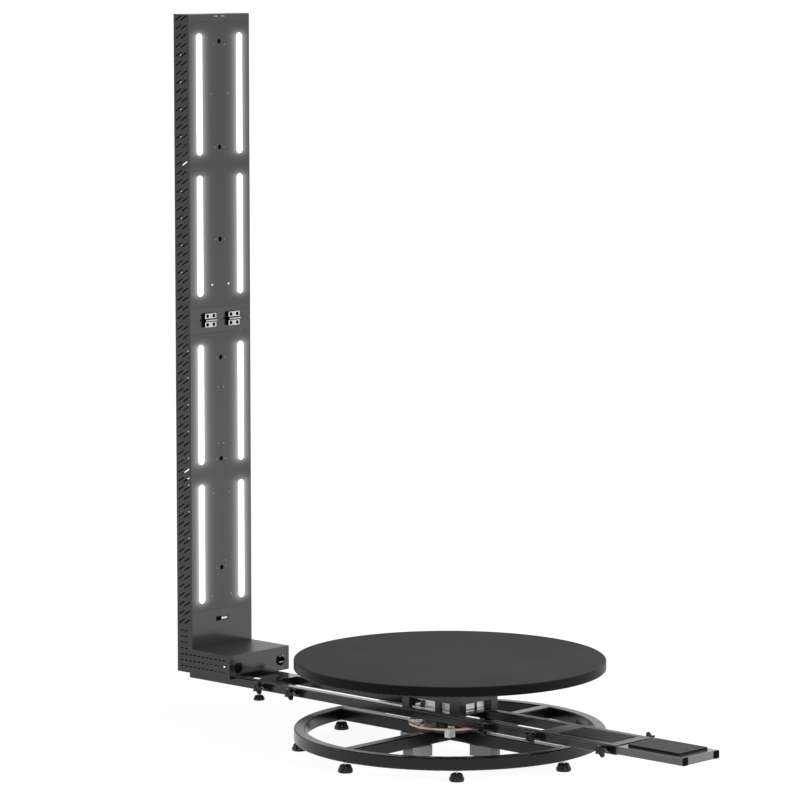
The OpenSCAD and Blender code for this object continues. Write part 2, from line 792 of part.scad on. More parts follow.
// Side plates of the lower mast and the foot box, one L-shaped sheet each side
module lower_cheeks() {
    first = fold_z - slot_below;
    last = box_z + dash_low + 7 * dash_pitch + slot_l / 4;
    count = floor((first - last) / slot_pitch) + 1;
    color(powder_black) difference() {
        cheek_pair() polygon([
            [-mast_back, box_z], [-box_front, box_z], [-box_front, box_top], [-mast_front, box_top],
            [-mast_front, fold_z - fold_gap], [-mast_back, fold_z - fold_gap]]);
        vent_slots(first, count, -1);
        vent_dashes();
    }
}

// Side plates of the upper mast
module upper_cheeks() {
    first = fold_z + slot_above;
    count = floor((mast_top - slot_l / 4 - slot_w - first) / slot_pitch) + 1;
    color(powder_black) difference() {
        cheek_pair() polygon([
            [-mast_back, fold_z + fold_gap], [-mast_front, fold_z + fold_gap],
            [-mast_front, mast_top], [-mast_back, mast_top]]);
        vent_slots(first, count, 1);
    }
}

// Turns a flat outline in (width, height) into a sheet of the mast's front
module front_sheet(x_back, t) {
    translate([x_back, 0, 0]) rotate([90, 0, 90]) linear_extrude(t) children();
}

// Outline of a front panel between two heights, grown or shrunk by a gap
module panel_outline(z0, z1, gap) {
    translate([0, (z0 + z1) / 2]) rounded_rect(panel_w - 2 * gap, z1 - z0 - 2 * gap, panel_r - gap);
}

// Front of one mast half round its panel, with the plate that closes the half at the fold
module front_frame(z0, z1, panel_z0, panel_z1, cap_z) {
    color(powder_black) {
        difference() {
            front_sheet(-mast_front - sheet_t, sheet_t)
                translate([-inside_w / 2, z0]) square([inside_w, z1 - z0]);
            front_sheet(-mast_front - sheet_t - 1, sheet_t + 2) panel_outline(panel_z0, panel_z1, 0);
        }
        for (z = cap_z) span([-mast_back + sheet_t, -inside_w / 2, z],
                             [-mast_front - sheet_t / 2, inside_w / 2, z + sheet_t]);
    }
}

module lower_front_frame() {
    port_w = 56;
    port_h = 15;
    port_z = box_top + 91;
    port_deep = 3;
    difference() {
        union() {
            front_frame(box_top, fold_z - fold_gap, lower_panel_low, lower_panel_high,
                        [fold_z - fold_gap - sheet_t]);
            color(powder_black)
                span([-mast_front - sheet_t - port_deep, -port_w / 2 - 4, port_z - port_h / 2 - 4],
                     [-mast_front, port_w / 2 + 4, port_z + port_h / 2 + 4]);
        }
        color(deep_black) span([-mast_front - port_deep, -port_w / 2, port_z - port_h / 2],
             [-mast_front + 1, port_w / 2, port_z + port_h / 2]);
    }
}

module upper_front_frame() {
    front_frame(fold_z + fold_gap, mast_top, upper_panel_low, upper_panel_high,
                [fold_z + fold_gap, mast_top - sheet_t]);
}

// Outline of one light bar, standing on end
module light_outline(w, l) {
    square([w, l - w], center = true);
    for (end = sides) translate([0, end * (l - w) / 2]) circle(d = w);
}

// Inset front panel with openings for the light bars and the cameras
module front_panel(z0, z1, light_z, light_l, cameras) {
    color("#333334") difference() {
        front_sheet(-mast_front - sheet_t, sheet_t) panel_outline(z0, z1, panel_gap);
        front_sheet(-mast_front - sheet_t - 1, sheet_t + 2) {
            for (side = sides, z = light_z) translate([side * light_y, z])
                light_outline(light_w + 2 * face_gap, light_l + 2 * face_gap);
            for (z = cameras) translate([0, z]) circle(d = lens_d + 2 * face_gap);
        }
    }
}

module lower_front_panel() {
    front_panel(lower_panel_low, lower_panel_high, lower_light_z, lower_light_l, lower_camera_z);
}

module upper_front_panel() {
    front_panel(upper_panel_low, upper_panel_high, upper_light_z, upper_light_l, upper_camera_z);
}

// Diffusers of the light bars, with a wider foot behind the panel
module light_bars(light_z, light_l) {
    foot_grow = 6;
    foot_deep = 5;
    color("#fbfbf6") for (side = sides, z = light_z) {
        front_sheet(-mast_front - sheet_t - 1, sheet_t + 1 + light_proud) translate([side * light_y, z])
            light_outline(light_w, light_l);
        front_sheet(-mast_front - sheet_t - foot_deep, foot_deep) translate([side * light_y, z])
            light_outline(light_w + foot_grow, light_l + foot_grow);
    }
}

module lower_light_bars() {
    light_bars(lower_light_z, lower_light_l);
}

module upper_light_bars() {
    light_bars(upper_light_z, upper_light_l);
}

// Camera modules behind a front panel, their lens barrels in its holes
module cameras(heights) {
    barrel_wall = 1;
    lens_bore = lens_d - 2 * barrel_wall;
    color(deep_black) for (z = heights) difference() {
        union() {
            span([-mast_front - sheet_t - camera_depth, -camera_size / 2, z - camera_size / 2],
                 [-mast_front - sheet_t, camera_size / 2, z + camera_size / 2]);
            translate([-mast_front - sheet_t - 1, 0, z]) rotate([0, 90, 0])
                cylinder(d = lens_d, h = sheet_t + 1);
        }
        translate([-mast_front - lens_deep, 0, z]) rotate([0, 90, 0])
            cylinder(d = lens_bore, h = lens_deep + 1);
    }
}

module lower_cameras() {
    cameras(lower_camera_z);
}

module upper_cameras() {
    cameras(upper_camera_z);
}

// Back sheet of one mast half, with a hand hold
module back_panel(z0, z1, hold_z) {
    color(powder_black) difference() {
        translate([-mast_back, 0, 0]) rotate([90, 0, 90]) linear_extrude(sheet_t) difference() {
            translate([-inside_w / 2, z0]) square([inside_w, z1 - z0]);
            translate([0, hold_z]) rounded_rect(hold_w, hold_h, hold_h / 2 - 0.5);
        }
    }
}

module lower_back_panel() {
    back_panel(box_z, fold_z - fold_gap, fold_z - hold_fold);
}

module upper_back_panel() {
    back_panel(fold_z + fold_gap, mast_top, fold_z + hold_fold);
}

// Folded sheet that makes the top and the front of the foot box, with the button's collar
module foot_box_cover() {
    seam = 12;
    collar_proud = 3;
    color(powder_black) difference() {
        union() {
            span([-mast_front - sheet_t, -inside_w / 2, box_top - sheet_t],
                 [-box_front, inside_w / 2, box_top]);
            span([-box_front - sheet_t, -inside_w / 2, box_z + sheet_t], [-box_front, inside_w / 2, box_top]);
            translate([-box_front - sheet_t, -button_y, fitting_z]) rotate([0, 90, 0])
                cylinder(d = collar_d, h = sheet_t + collar_proud);
        }
        translate([-box_front - sheet_t - 1, -button_y, fitting_z]) rotate([0, 90, 0])
            cylinder(d = button_d + 2 * face_gap, h = sheet_t + collar_proud + 2);
        translate([-box_front - sheet_t - 1, socket_y, fitting_z]) rotate([0, 90, 0])
            cylinder(d = collar_d - 4, h = sheet_t + 2);
        for (side = sides) span([-box_front - 0.8, side * (mast_w / 2 - seam) - 0.5, box_z],
                                [-box_front + 1, side * (mast_w / 2 - seam) + 0.5, box_top + 1]);
    }
}

// Floor of the foot box, bolted on the rails
module foot_box_floor() {
    color(powder_black)
        span([-mast_back + sheet_t, -inside_w / 2, box_z], [-box_front, inside_w / 2, box_z + sheet_t]);
}

// Power supply on the foot box's floor
module power_supply() {
    supply = [130, 98, 40];
    color("#a7abaf") translate([-box_front - 12 - supply[0], -supply[1] - 20, box_z + sheet_t]) cube(supply);
}

// Control board on standoffs in the foot of the mast
module control_board() {
    board = [1.6, 180, 90];
    standoff = 8;
    low = box_top + 16;
    color("#1f5136") {
        translate([-mast_back + sheet_t + standoff, -board[1] / 2, low]) cube(board);
        for (y = sides, z = [8, board[2] - 8])
            translate([-mast_back + sheet_t, y * (board[1] / 2 - 8), low + z])
                rotate([0, 90, 0]) cylinder(d = 6, h = standoff + 0.5);
    }
}

// Round power socket in the foot box's front
module power_socket() {
    flange_t = 3;
    body_l = socket_deep + 8;
    color(deep_black) translate([-box_front, socket_y, fitting_z]) rotate([0, 90, 0]) difference() {
        union() {
            cylinder(d = collar_d, h = flange_t);
            translate([0, 0, -body_l]) cylinder(d = collar_d - 4, h = body_l + 1);
        }
        translate([0, 0, flange_t - socket_deep]) cylinder(d = socket_d, h = socket_deep + 1);
    }
}

// Push button in its collar, with a lip behind the sheet that keeps it in
module power_button() {
    proud = button_travel + 2;
    lip_t = 3;
    color("#1d1d1e") translate([-box_front, -button_y, fitting_z]) rotate([0, 90, 0]) {
        translate([0, 0, -sheet_t - lip_t]) cylinder(d = button_d, h = sheet_t + lip_t + proud);
        translate([0, 0, -sheet_t - face_gap - lip_t]) cylinder(d = button_d + 6, h = lip_t);
    }
}

// One hinge leaf above or below the pin, with its knuckles
module hinge_leaf(up, knuckles, bored) {
    leaf_gap = barrel_d / 2 + 1;
    face = -mast_front;
    lift = up ? 1 : -1;
    leaf_h = hinge_h / 2 - leaf_gap;
    corner_r = 4;
    screw_in = 11.5;
    web_t = 6.5;
    screw_y = hinge_w / 2 - screw_in;
    screw_z = leaf_gap + leaf_h / 2;
    difference() {
        union() {
            front_sheet(face, leaf_t) translate([0, fold_z + lift * screw_z]) {
                rounded_rect(hinge_w, leaf_h, corner_r);
                translate([0, -lift * leaf_h / 4]) square([hinge_w, leaf_h / 2], center = true);
            }
            for (k = knuckles) {
                translate([hinge_x, k[0], fold_z]) rotate([-90, 0, 0])
                    cylinder(d = barrel_d, h = k[1] - k[0]);
                span([face, k[0], fold_z + min(0, lift * (leaf_gap + 1))],
                     [face + web_t, k[1], fold_z + max(0, lift * (leaf_gap + 1))]);
            }
        }
        if (bored) translate([hinge_x, -hinge_w, fold_z]) rotate([-90, 0, 0])
            cylinder(r = hinge_pin_d / 2 + run_fit, h = 2 * hinge_w);
        for (y = sides) translate([face - 1, y * screw_y, fold_z + lift * screw_z]) rotate([0, 90, 0])
            cylinder(d = hinge_hole_d, h = leaf_t + 2);
    }
}

// Lower leaves of both hinges with the pins pressed into their outer knuckles
module lower_hinge_leaves() {
    mid = hinge_w / 4;
    color("#d6d8da") for (side = sides) translate([0, side * hinge_y, 0]) {
        hinge_leaf(false, [[-hinge_w / 2, -mid], [mid, hinge_w / 2]], false);
        translate([hinge_x, -hinge_w / 2, fold_z]) rotate([-90, 0, 0]) cylinder(d = hinge_pin_d, h = hinge_w);
    }
}

// Upper leaves of both hinges, their middle knuckles turning on the pins
module upper_hinge_leaves() {
    mid = hinge_w / 4 - face_gap;
    color("#d6d8da") for (side = sides) translate([0, side * hinge_y, 0])
        hinge_leaf(true, [[-mid, mid]], true);
}

// Weight section of the arm: rails, sleeves, end bars, and straps under the inner weight
module weight_frame() {
    plug_l = 100;
    strap_in = 40;
    color(powder_black) difference() {
        union() {
            for (side = sides) {
                tube_x(weight_start, weight_end, side * rail_y, rail_mid, rail, rail_wall);
                bar_x(weight_start, weight_start + plug_l, side * rail_y, rail_mid, rail_bore, bore_r);
                bar_x(arm_right - weight_sleeve, weight_start + 1, side * rail_y, rail_mid, sleeve, sleeve_r);
            }
            cross_bar(weight_start, weight_start + bar_w, rail, rail_top, inner_w);
            cross_bar(weight_end - wide_bar, weight_end, rail, rail_top, inner_w);
            for (x = [weight_start + bar_w + strap_in, weight_end - wide_bar - strap_in])
                span([x - strap_w / 2, -inner_w / 2 - weld, rail_z],
                     [x + strap_w / 2, inner_w / 2 + weld, rail_z + strap_t]);
        }
        for (side = sides) knob_hole(knob_tray, side);
    }
}

// Steel weight let in between the rails
module inner_weight() {
    x0 = weight_start + bar_w + panel_gap;
    x1 = weight_end - wide_bar - panel_gap;
    half = inner_w / 2 - panel_gap;
    color("#3c3d3e") difference() {
        span([x0, -half, inner_weight_z], [x1, half, inner_weight_top]);
        translate([x1 - lift_hole_edge, 0, inner_weight_z - 1]) cylinder(d = lift_hole_d, h = rail);
    }
}

// Sliding tray: two rails, and bars across at the inner and outer ends
module tray_frame() {
    bars_w = 2 * rail_y - tray_bar;
    top = rail_mid + tray_bar / 2;
    end = tray_end - tray_cap_t;
    color(powder_black) {
        for (side = sides) tube_x(tray_inner_end, end, side * rail_y, rail_mid, tray_bar, rail_wall);
        for (x = [tray_bar_start, end - bar_w]) cross_bar(x, x + bar_w, tray_bar, top, bars_w);
    }
}

// Plastic plugs in the tray rails' ends
module tray_end_caps() {
    plug = tray_bar - 2 * rail_wall - 2 * face_gap;
    plug_l = 12;
    color(deep_black) for (side = sides) {
        bar_x(tray_end - tray_cap_t, tray_end, side * rail_y, rail_mid, tray_bar, tube_r);
        bar_x(tray_end - tray_cap_t - plug_l, tray_end, side * rail_y, rail_mid, plug, bore_r);
    }
}

// Steel weight that lies on the tray rails
module outer_weight() {
    half = rail_y - tray_bar / 2 + tube_r + plate_seat;
    low = rail_mid + tray_bar / 2;
    x0 = tray_bar_start + bar_w;
    x1 = tray_end - tray_cap_t - bar_w;
    color("#3c3d3e") difference() {
        span([x0, -half, low], [x1, half, low + plate_t]);
        translate([x1 - lift_hole_edge, 0, low - 1]) cylinder(d = lift_hole_d, h = plate_t + 2);
    }
}

// Star knob on +Z with its stud below, its seat at the origin
module star_knob(reach) {
    arm_r = knob_d * 0.14;
    color(deep_black) {
        translate([0, 0, knob_neck]) linear_extrude(knob_t) {
            circle(d = knob_d * 0.52);
            for (i = [0:knob_arms - 1]) rotate(360 * i / knob_arms) {
                translate([knob_d / 2 - arm_r, 0]) circle(arm_r);
                translate([0, -arm_r]) square([knob_d / 2 - arm_r, 2 * arm_r]);
            }
        }
        translate([0, 0, face_gap]) cylinder(d = knob_d * 0.4, h = knob_neck);
        translate([0, 0, -reach]) cylinder(d = knob_stud_d, h = reach + knob_neck);
    }
}

// Star knob in the outer wall of a rail
module rail_knob(x, side) {
    translate([x, side * arm_w / 2, rail_mid]) rotate([-90 * side, 0, 0]) star_knob(rail_wall);
}

// Hand wheel on a long stud below the near mast rail
module under_knob() {
    color(deep_black) translate([-knob_under, -rail_y, rail_z - under_drop - under_h]) {
        notched_wheel(under_d, under_h);
        cylinder(d = knob_stud_d, h = under_h + under_drop + rail_wall - face_gap);
    }
}

base_ring();
cross_beams();
centre_legs();
support_column();
slip_ring();
slip_ring_blocks();
ring_terminal();
sun_gear();
hub_bearings();
platform();
levelling_foot(1);  // foot_1
levelling_foot(2);  // foot_2
levelling_foot(3);  // foot_3
levelling_foot(4);  // foot_4
levelling_foot(5);  // foot_5
levelling_foot(6);  // foot_6
levelling_foot(7);  // foot_7
levelling_foot(8);  // foot_8
arm_frame();
hub_cage();
hub_plates();
drive_motor();
brush_holders();
drive_pinion();
mast_frame();
lower_cheeks();
lower_front_frame();
lower_front_panel();
lower_back_panel();
foot_box_cover();
foot_box_floor();
power_supply();
control_board();
power_socket();
power_button();
lower_light_bars();
lower_cameras();
lower_hinge_leaves();
upper_cheeks();
upper_front_frame();
upper_front_panel();
upper_back_panel();
upper_light_bars();
upper_cameras();
upper_hinge_leaves();
weight_frame();
inner_weight();
tray_frame();
tray_end_caps();
outer_weight();
rail_knob(-knob_mast_outer, -1);  // knob_mast_outer_near
rail_knob(-knob_mast_outer, 1);  // knob_mast_outer_far
rail_knob(-knob_mast_inner, -1);  // knob_mast_inner_near
rail_knob(-knob_mast_inner, 1);  // knob_mast_inner_far
rail_knob(knob_weight_inner, -1);  // knob_weight_inner_near
rail_knob(knob_weight_outer, -1);  // knob_weight_outer_near
rail_knob(knob_weight_outer, 1);  // knob_weight_outer_far
rail_knob(knob_tray, -1);  // knob_tray_near
rail_knob(knob_tray, 1);  // knob_tray_far
under_knob();  // knob_under_near
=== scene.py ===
import math

import bmesh
import bpy
from mathutils import Matrix, Vector


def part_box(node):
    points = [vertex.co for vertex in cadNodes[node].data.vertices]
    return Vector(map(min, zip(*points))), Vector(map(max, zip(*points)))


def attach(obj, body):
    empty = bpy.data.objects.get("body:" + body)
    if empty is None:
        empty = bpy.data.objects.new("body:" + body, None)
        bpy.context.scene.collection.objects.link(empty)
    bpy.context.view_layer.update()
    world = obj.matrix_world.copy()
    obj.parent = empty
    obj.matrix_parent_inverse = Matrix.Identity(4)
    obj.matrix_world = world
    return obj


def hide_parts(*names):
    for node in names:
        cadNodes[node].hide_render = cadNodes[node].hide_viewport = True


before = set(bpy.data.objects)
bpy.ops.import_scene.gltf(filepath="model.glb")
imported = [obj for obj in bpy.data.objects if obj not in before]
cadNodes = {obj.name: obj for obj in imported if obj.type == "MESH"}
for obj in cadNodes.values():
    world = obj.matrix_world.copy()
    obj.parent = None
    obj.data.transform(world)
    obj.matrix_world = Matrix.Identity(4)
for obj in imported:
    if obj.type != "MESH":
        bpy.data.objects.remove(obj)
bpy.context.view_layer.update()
scene = bpy.context.scene
scene.view_settings.view_transform = "Standard"
mm = 0.001

# camera

cameraSet = {
    "place": (8.539, -9.344, 2.6162),
    "lookDown": 6.7028,
    "heading": 43.1453,
    "lens": 180.64,
    "sensor": 36.0,
    "farClip": 200,
}
cameraData = bpy.data.cameras.new("photoCamera")
cameraData.lens = cameraSet["lens"]
cameraData.sensor_width = cameraSet["sensor"]
cameraData.clip_end = cameraSet["farClip"]
photoCamera = bpy.data.objects.new("photoCamera", cameraData)
photoCamera.location = cameraSet["place"]
photoCamera.rotation_euler = (math.radians(90 - cameraSet["lookDown"]), 0, math.radians(cameraSet["heading"]))
scene.collection.objects.link(photoCamera)
scene.camera = photoCamera
print("camera set")


# node helpers

def addNode(tree, kind, **settings):
    node = tree.nodes.new(kind)
    for key, value in settings.items():
        setattr(node, key, value)
    return node


def feed(tree, node, **wires):
    # each wire: socket name with spaces as _, or i0, i1 for a socket number
    for key, value in wires.items():
        isNumber = key[0] == "i" and key[1:].isdigit()
        socket = node.inputs[int(key[1:])] if isNumber else node.inputs[key.replace("_", " ")]
        if isinstance(value, bpy.types.NodeSocket):
            tree.links.new(value, socket)
        else:
            socket.default_value = value
    return node


def mathNode(tree, operation, *values, clamp=False):
    node = addNode(tree, "ShaderNodeMath", operation=operation, use_clamp=clamp)
    feed(tree, node, **{f"i{n}": v for n, v in enumerate(values)})
    return node.outputs[0]


def times(tree, first, *others):
    product = first
    for value in others:
        product = mathNode(tree, "MULTIPLY", product, value)
    return product


def remap(tree, value, fromLow, fromHigh, toLow, toHigh, smooth=False):
    node = addNode(tree, "ShaderNodeMapRange", interpolation_type="SMOOTHSTEP" if smooth else "LINEAR")
    feed(tree, node, Value=value, From_Min=fromLow, From_Max=fromHigh, To_Min=toLow, To_Max=toHigh)
    return node.outputs["Result"]


def mixColour(tree, factor, first, second, blend="MIX"):
    node = addNode(tree, "ShaderNodeMix", data_type="RGBA", blend_type=blend)
    feed(tree, node, i0=factor, i6=first, i7=second)
    return node.outputs[2]


def tint(tree, colour, gain):
    # colour made brighter or darker by a gain that changes over the surface
    grey = addNode(tree, "ShaderNodeCombineColor")
    feed(tree, grey, Red=gain, Green=gain, Blue=gain)
    return mixColour(tree, 1.0, colour, grey.outputs[0], "MULTIPLY")


def noise(tree, vector, scale, detail=2.0, roughness=0.5):
    node = addNode(tree, "ShaderNodeTexNoise")
    feed(tree, node, Vector=vector, Scale=scale, Detail=detail, Roughness=roughness)
    return node.outputs["Fac"]


def noiseOf(tree, vector, part):
    return noise(tree, vector, part["scale"], part["detail"], part["rough"])


def newGroup(name, takes, gives):
    group = bpy.data.node_groups.new(name, "ShaderNodeTree")
    for label, kind, value in takes:
        socket = group.interface.new_socket(label, in_out="INPUT", socket_type="NodeSocket" + kind)
        socket.default_value = value
    for label, kind in gives:
        group.interface.new_socket(label, in_out="OUTPUT", socket_type="NodeSocket" + kind)
    return group, addNode(group, "NodeGroupInput"), addNode(group, "NodeGroupOutput")


def objectPlace(tree):
    return addNode(tree, "ShaderNodeTexCoord").outputs["Object"]


def surfaceNormal(tree):
    return addNode(tree, "ShaderNodeNewGeometry").outputs["Normal"]


def splitVector(tree, vector):
    return feed(tree, addNode(tree, "ShaderNodeSeparateXYZ"), i0=vector).outputs


# shared effects

noiseSpan = (0.3, 0.7)  # most of a noise lies in this span
plainBlack = (0, 0, 0, 1)


def buildPowderGrain():
    # orange peel of a baked coat, with slow changes of tone
    peelSet = {"slow": 5.0, "slowShare": 0.7, "middle": 42.0, "middleShare": 0.3, "detail": 3.0,
               "peelDetail": 2.0, "peelRough": 0.6}
    group, given, put = newGroup(
        "powderGrain",
        [("Colour", "Color", (0.03, 0.03, 0.03, 1)), ("Mottle", "Float", 0.2), ("Grain", "Float", 700.0),
         ("Smooth", "Float", 0.34), ("Coarse", "Float", 0.48)],
        [("Colour", "Color"), ("Roughness", "Float"), ("Height", "Float")])
    place = objectPlace(group)
    slow = noise(group, place, peelSet["slow"], peelSet["detail"])
    middle = noise(group, place, peelSet["middle"], peelSet["detail"])
    peel = noise(group, place, given.outputs["Grain"], peelSet["peelDetail"], peelSet["peelRough"])
    tone = mathNode(group, "ADD", times(group, slow, peelSet["slowShare"]),
                    times(group, middle, peelSet["middleShare"]))
    shift = times(group, mathNode(group, "SUBTRACT", tone, 0.5), given.outputs["Mottle"])
    gain = mathNode(group, "ADD", times(group, shift, 2.0), 1.0)
    rough = remap(group, tone, *noiseSpan, given.outputs["Smooth"], given.outputs["Coarse"])
    feed(group, put, Colour=tint(group, given.outputs["Colour"], gain), Roughness=rough, Height=peel)
    return group


def buildEdgeWearAndHighlight():
    # pale edges, partly rub and partly painted highlight, broken up by noise
    rubAndHighlightSet = {"flat": 0.995, "edge": 0.86, "scale": 60.0, "detail": 4.0, "rough": 0.6, "span": (0.38, 0.62),
              "least": 0.25}
    group, given, put = newGroup(
        "edgeWearAndHighlight",
        [("Width", "Float", 0.002), ("Amount", "Float", 0.5)],
        [("Mask", "Float")])
    rounded = addNode(group, "ShaderNodeBevel", samples=4)
    feed(group, rounded, Radius=given.outputs["Width"])
    dot = addNode(group, "ShaderNodeVectorMath", operation="DOT_PRODUCT")
    feed(group, dot, i0=rounded.outputs[0], i1=surfaceNormal(group))
    edge = remap(group, dot.outputs["Value"], rubAndHighlightSet["flat"], rubAndHighlightSet["edge"], 0.0, 1.0)
    broken = remap(group, noiseOf(group, objectPlace(group), rubAndHighlightSet), *rubAndHighlightSet["span"], rubAndHighlightSet["least"], 1.0)
    mask = mathNode(group, "MULTIPLY", times(group, edge, broken), given.outputs["Amount"], clamp=True)
    feed(group, put, Mask=mask)
    return group


def buildDustFall():
    # thin dust on faces that look up
    fallSet = {
        "up": (0.6, 0.98),
        "patch": {"scale": 9.0, "detail": 6.0, "rough": 0.65, "span": (0.35, 0.75), "least": 0.2},
        "speck": {"scale": 620.0, "detail": 1.0, "rough": 0.5, "span": (0.56, 0.72), "least": 0.35},
    }
    group, given, put = newGroup("dustFall", [("Amount", "Float", 0.2)], [("Mask", "Float")])
    mask = remap(group, splitVector(group, surfaceNormal(group))["Z"], *fallSet["up"], 0.0, 1.0)
    for kind in ("patch", "speck"):
        part = fallSet[kind]
        spread = noiseOf(group, objectPlace(group), part)
        mask = times(group, mask, remap(group, spread, *part["span"], part["least"], 1.0))
    feed(group, put, Mask=mathNode(group, "MULTIPLY", mask, given.outputs["Amount"], clamp=True))
    return group


def buildTopFacing():
    # mask of faces that look up, a little uneven
    topSet = {"up": (0.5, 0.95), "scale": 7.0, "detail": 3.0, "least": 0.85}
    group, given, put = newGroup("topFacing", [("Amount", "Float", 0.5)], [("Mask", "Float")])
    up = remap(group, splitVector(group, surfaceNormal(group))["Z"], *topSet["up"], 0.0, 1.0, smooth=True)
    patches = noise(group, objectPlace(group), topSet["scale"], topSet["detail"])
    rubbed = remap(group, patches, *noiseSpan, topSet["least"], 1.0)
    mask = mathNode(group, "MULTIPLY", times(group, up, rubbed), given.outputs["Amount"], clamp=True)
    feed(group, put, Mask=mask)
    return group


def buildBrushedLines():
    # long fine scratches along one direction
    lineSet = {
        "lines": {"scale": 90.0, "detail": 4.0, "rough": 0.7, "tone": (0.8, 1.08)},
        "stain": {"scale": 26.0, "detail": 4.0, "rough": 0.6, "tone": (0.88, 1.06)},
        "rough": (0.22, 0.42),
    }
    group, given, put = newGroup(
        "brushedLines",
        [("Colour", "Color", (0.6, 0.6, 0.6, 1)), ("Stretch", "Vector", (1.0, 1.0, 40.0)),
         ("Depth", "Float", 0.2)],
        [("Colour", "Color"), ("Roughness", "Float"), ("Height", "Float")])
    scaled = addNode(group, "ShaderNodeVectorMath", operation="MULTIPLY")
    feed(group, scaled, i0=objectPlace(group), i1=given.outputs["Stretch"])
    lines = noiseOf(group, scaled.outputs[0], lineSet["lines"])
    stain = noiseOf(group, objectPlace(group), lineSet["stain"])
    dark = remap(group, lines, *noiseSpan, *lineSet["lines"]["tone"])
    tone = times(group, dark, remap(group, stain, *noiseSpan, *lineSet["stain"]["tone"]))
    rough = remap(group, stain, *noiseSpan, *lineSet["rough"])
    feed(group, put, Colour=tint(group, given.outputs["Colour"], tone), Roughness=rough,
         Height=times(group, lines, given.outputs["Depth"]))
    return group


def buildMouldedGrain():
    # spark-eroded texture of a moulding tool
    flowSet = {"scale": 34.0, "detail": 3.0, "tone": (0.78, 1.22), "cellSoft": 0.6}
    group, given, put = newGroup(
        "mouldedGrain",
        [("Colour", "Color", (0.02, 0.02, 0.02, 1)), ("Scale", "Float", 900.0), ("Smooth", "Float", 0.4),
         ("Coarse", "Float", 0.6)],
        [("Colour", "Color"), ("Roughness", "Float"), ("Height", "Float")])
    place = objectPlace(group)
    cells = addNode(group, "ShaderNodeTexVoronoi", feature="SMOOTH_F1")
    feed(group, cells, Vector=place, Scale=given.outputs["Scale"], Smoothness=flowSet["cellSoft"])
    flow = noise(group, place, flowSet["scale"], flowSet["detail"])
    tone = remap(group, flow, *noiseSpan, *flowSet["tone"])
    rough = remap(group, flow, *noiseSpan, given.outputs["Smooth"], given.outputs["Coarse"])
    feed(group, put, Colour=tint(group, given.outputs["Colour"], tone), Roughness=rough,
         Height=cells.outputs["Distance"])
    return group


def buildLampHalo():
    # glow of the lit bars on the sheet round them, shorter past their ends
    # the bars stand upright at +-Across, at two heights
    group, given, put = newGroup(
        "lampHalo",
        [("Across", "Float", 0.0925), ("First", "Float", 1.6), ("Second", "Float", 2.07),
         ("Half", "Float", 0.188), ("Reach", "Float", 0.02), ("Start", "Float", 0.013),
         ("Ends", "Float", 1.0)],
        [("Glow", "Float")])
    place = splitVector(group, objectPlace(group))
    side = mathNode(group, "SUBTRACT", mathNode(group, "ABSOLUTE", place["Y"]), given.outputs["Across"])
    glows = []
    for name in ("First", "Second"):
        rise = mathNode(group, "ABSOLUTE", mathNode(group, "SUBTRACT", place["Z"], given.outputs[name]))
        over = mathNode(group, "MAXIMUM", mathNode(group, "SUBTRACT", rise, given.outputs["Half"]), 0.0)
        past = times(group, over, given.outputs["Ends"])
        square = mathNode(group, "ADD", times(group, side, side), times(group, past, past))
        away = mathNode(group, "SQRT", square)
        gap = mathNode(group, "MAXIMUM", mathNode(group, "SUBTRACT", away, given.outputs["Start"]), 0.0)
        fall = mathNode(group, "DIVIDE", gap, given.outputs["Reach"])
        glows.append(mathNode(group, "EXPONENT", times(group, fall, -1.0)))
    feed(group, put, Glow=mathNode(group, "MAXIMUM", *glows))
    return group


effects = {
    "powderGrain": buildPowderGrain(),
    "edgeWearAndHighlight": buildEdgeWearAndHighlight(),
    "dustFall": buildDustFall(),
    "topFacing": buildTopFacing(),
    "brushedLines": buildBrushedLines(),
    "mouldedGrain": buildMouldedGrain(),
    "lampHalo": buildLampHalo(),
}
print("effects:", ", ".join(effects))


def placeEffect(tree, name, **values):
    node = addNode(tree, "ShaderNodeGroup", node_tree=effects[name])
    return feed(tree, node, **values).outputs


def newMaterial(name, specular=0.5, metallic=0.0, coatWeight=0.0, coatRoughness=0.1):
    material = bpy.data.materials.new(name)
    material.use_nodes = True
    tree = material.node_tree
    shader = tree.nodes["Principled BSDF"]
    shader.inputs["Specular IOR Level"].default_value = specular
    shader.inputs["Metallic"].default_value = metallic
    shader.inputs["Coat Weight"].default_value = coatWeight
    shader.inputs["Coat Roughness"].default_value = coatRoughness
    return material, tree, shader


def addBump(tree, shader, height, chosen):
    bump = addNode(tree, "ShaderNodeBump")
    feed(tree, bump, Strength=chosen["bump"], Distance=chosen["bumpDepth"], Height=height)
    tree.links.new(bump.outputs[0], shader.inputs["Normal"])


def paintCoat(tree, chosen):
    return placeEffect(tree, "powderGrain", Colour=chosen["colour"], Mottle=chosen["mottle"],
                       Grain=chosen["grain"], Smooth=chosen["smooth"], Coarse=chosen["coarse"])


def mouldedSkin(tree, chosen):
    return placeEffect(tree, "mouldedGrain", Colour=chosen["colour"], Scale=chosen["scale"],
                       Smooth=chosen["smooth"], Coarse=chosen["coarse"])


def facingUp(tree, amount=1.0):
    return placeEffect(tree, "topFacing", Amount=amount)["Mask"]


def brighter(colour, gain):
    return tuple(min(1, gain * c) for c in colour[:3]) + (1,)


# coats: the black and grey paints of frame, mast, box and weights

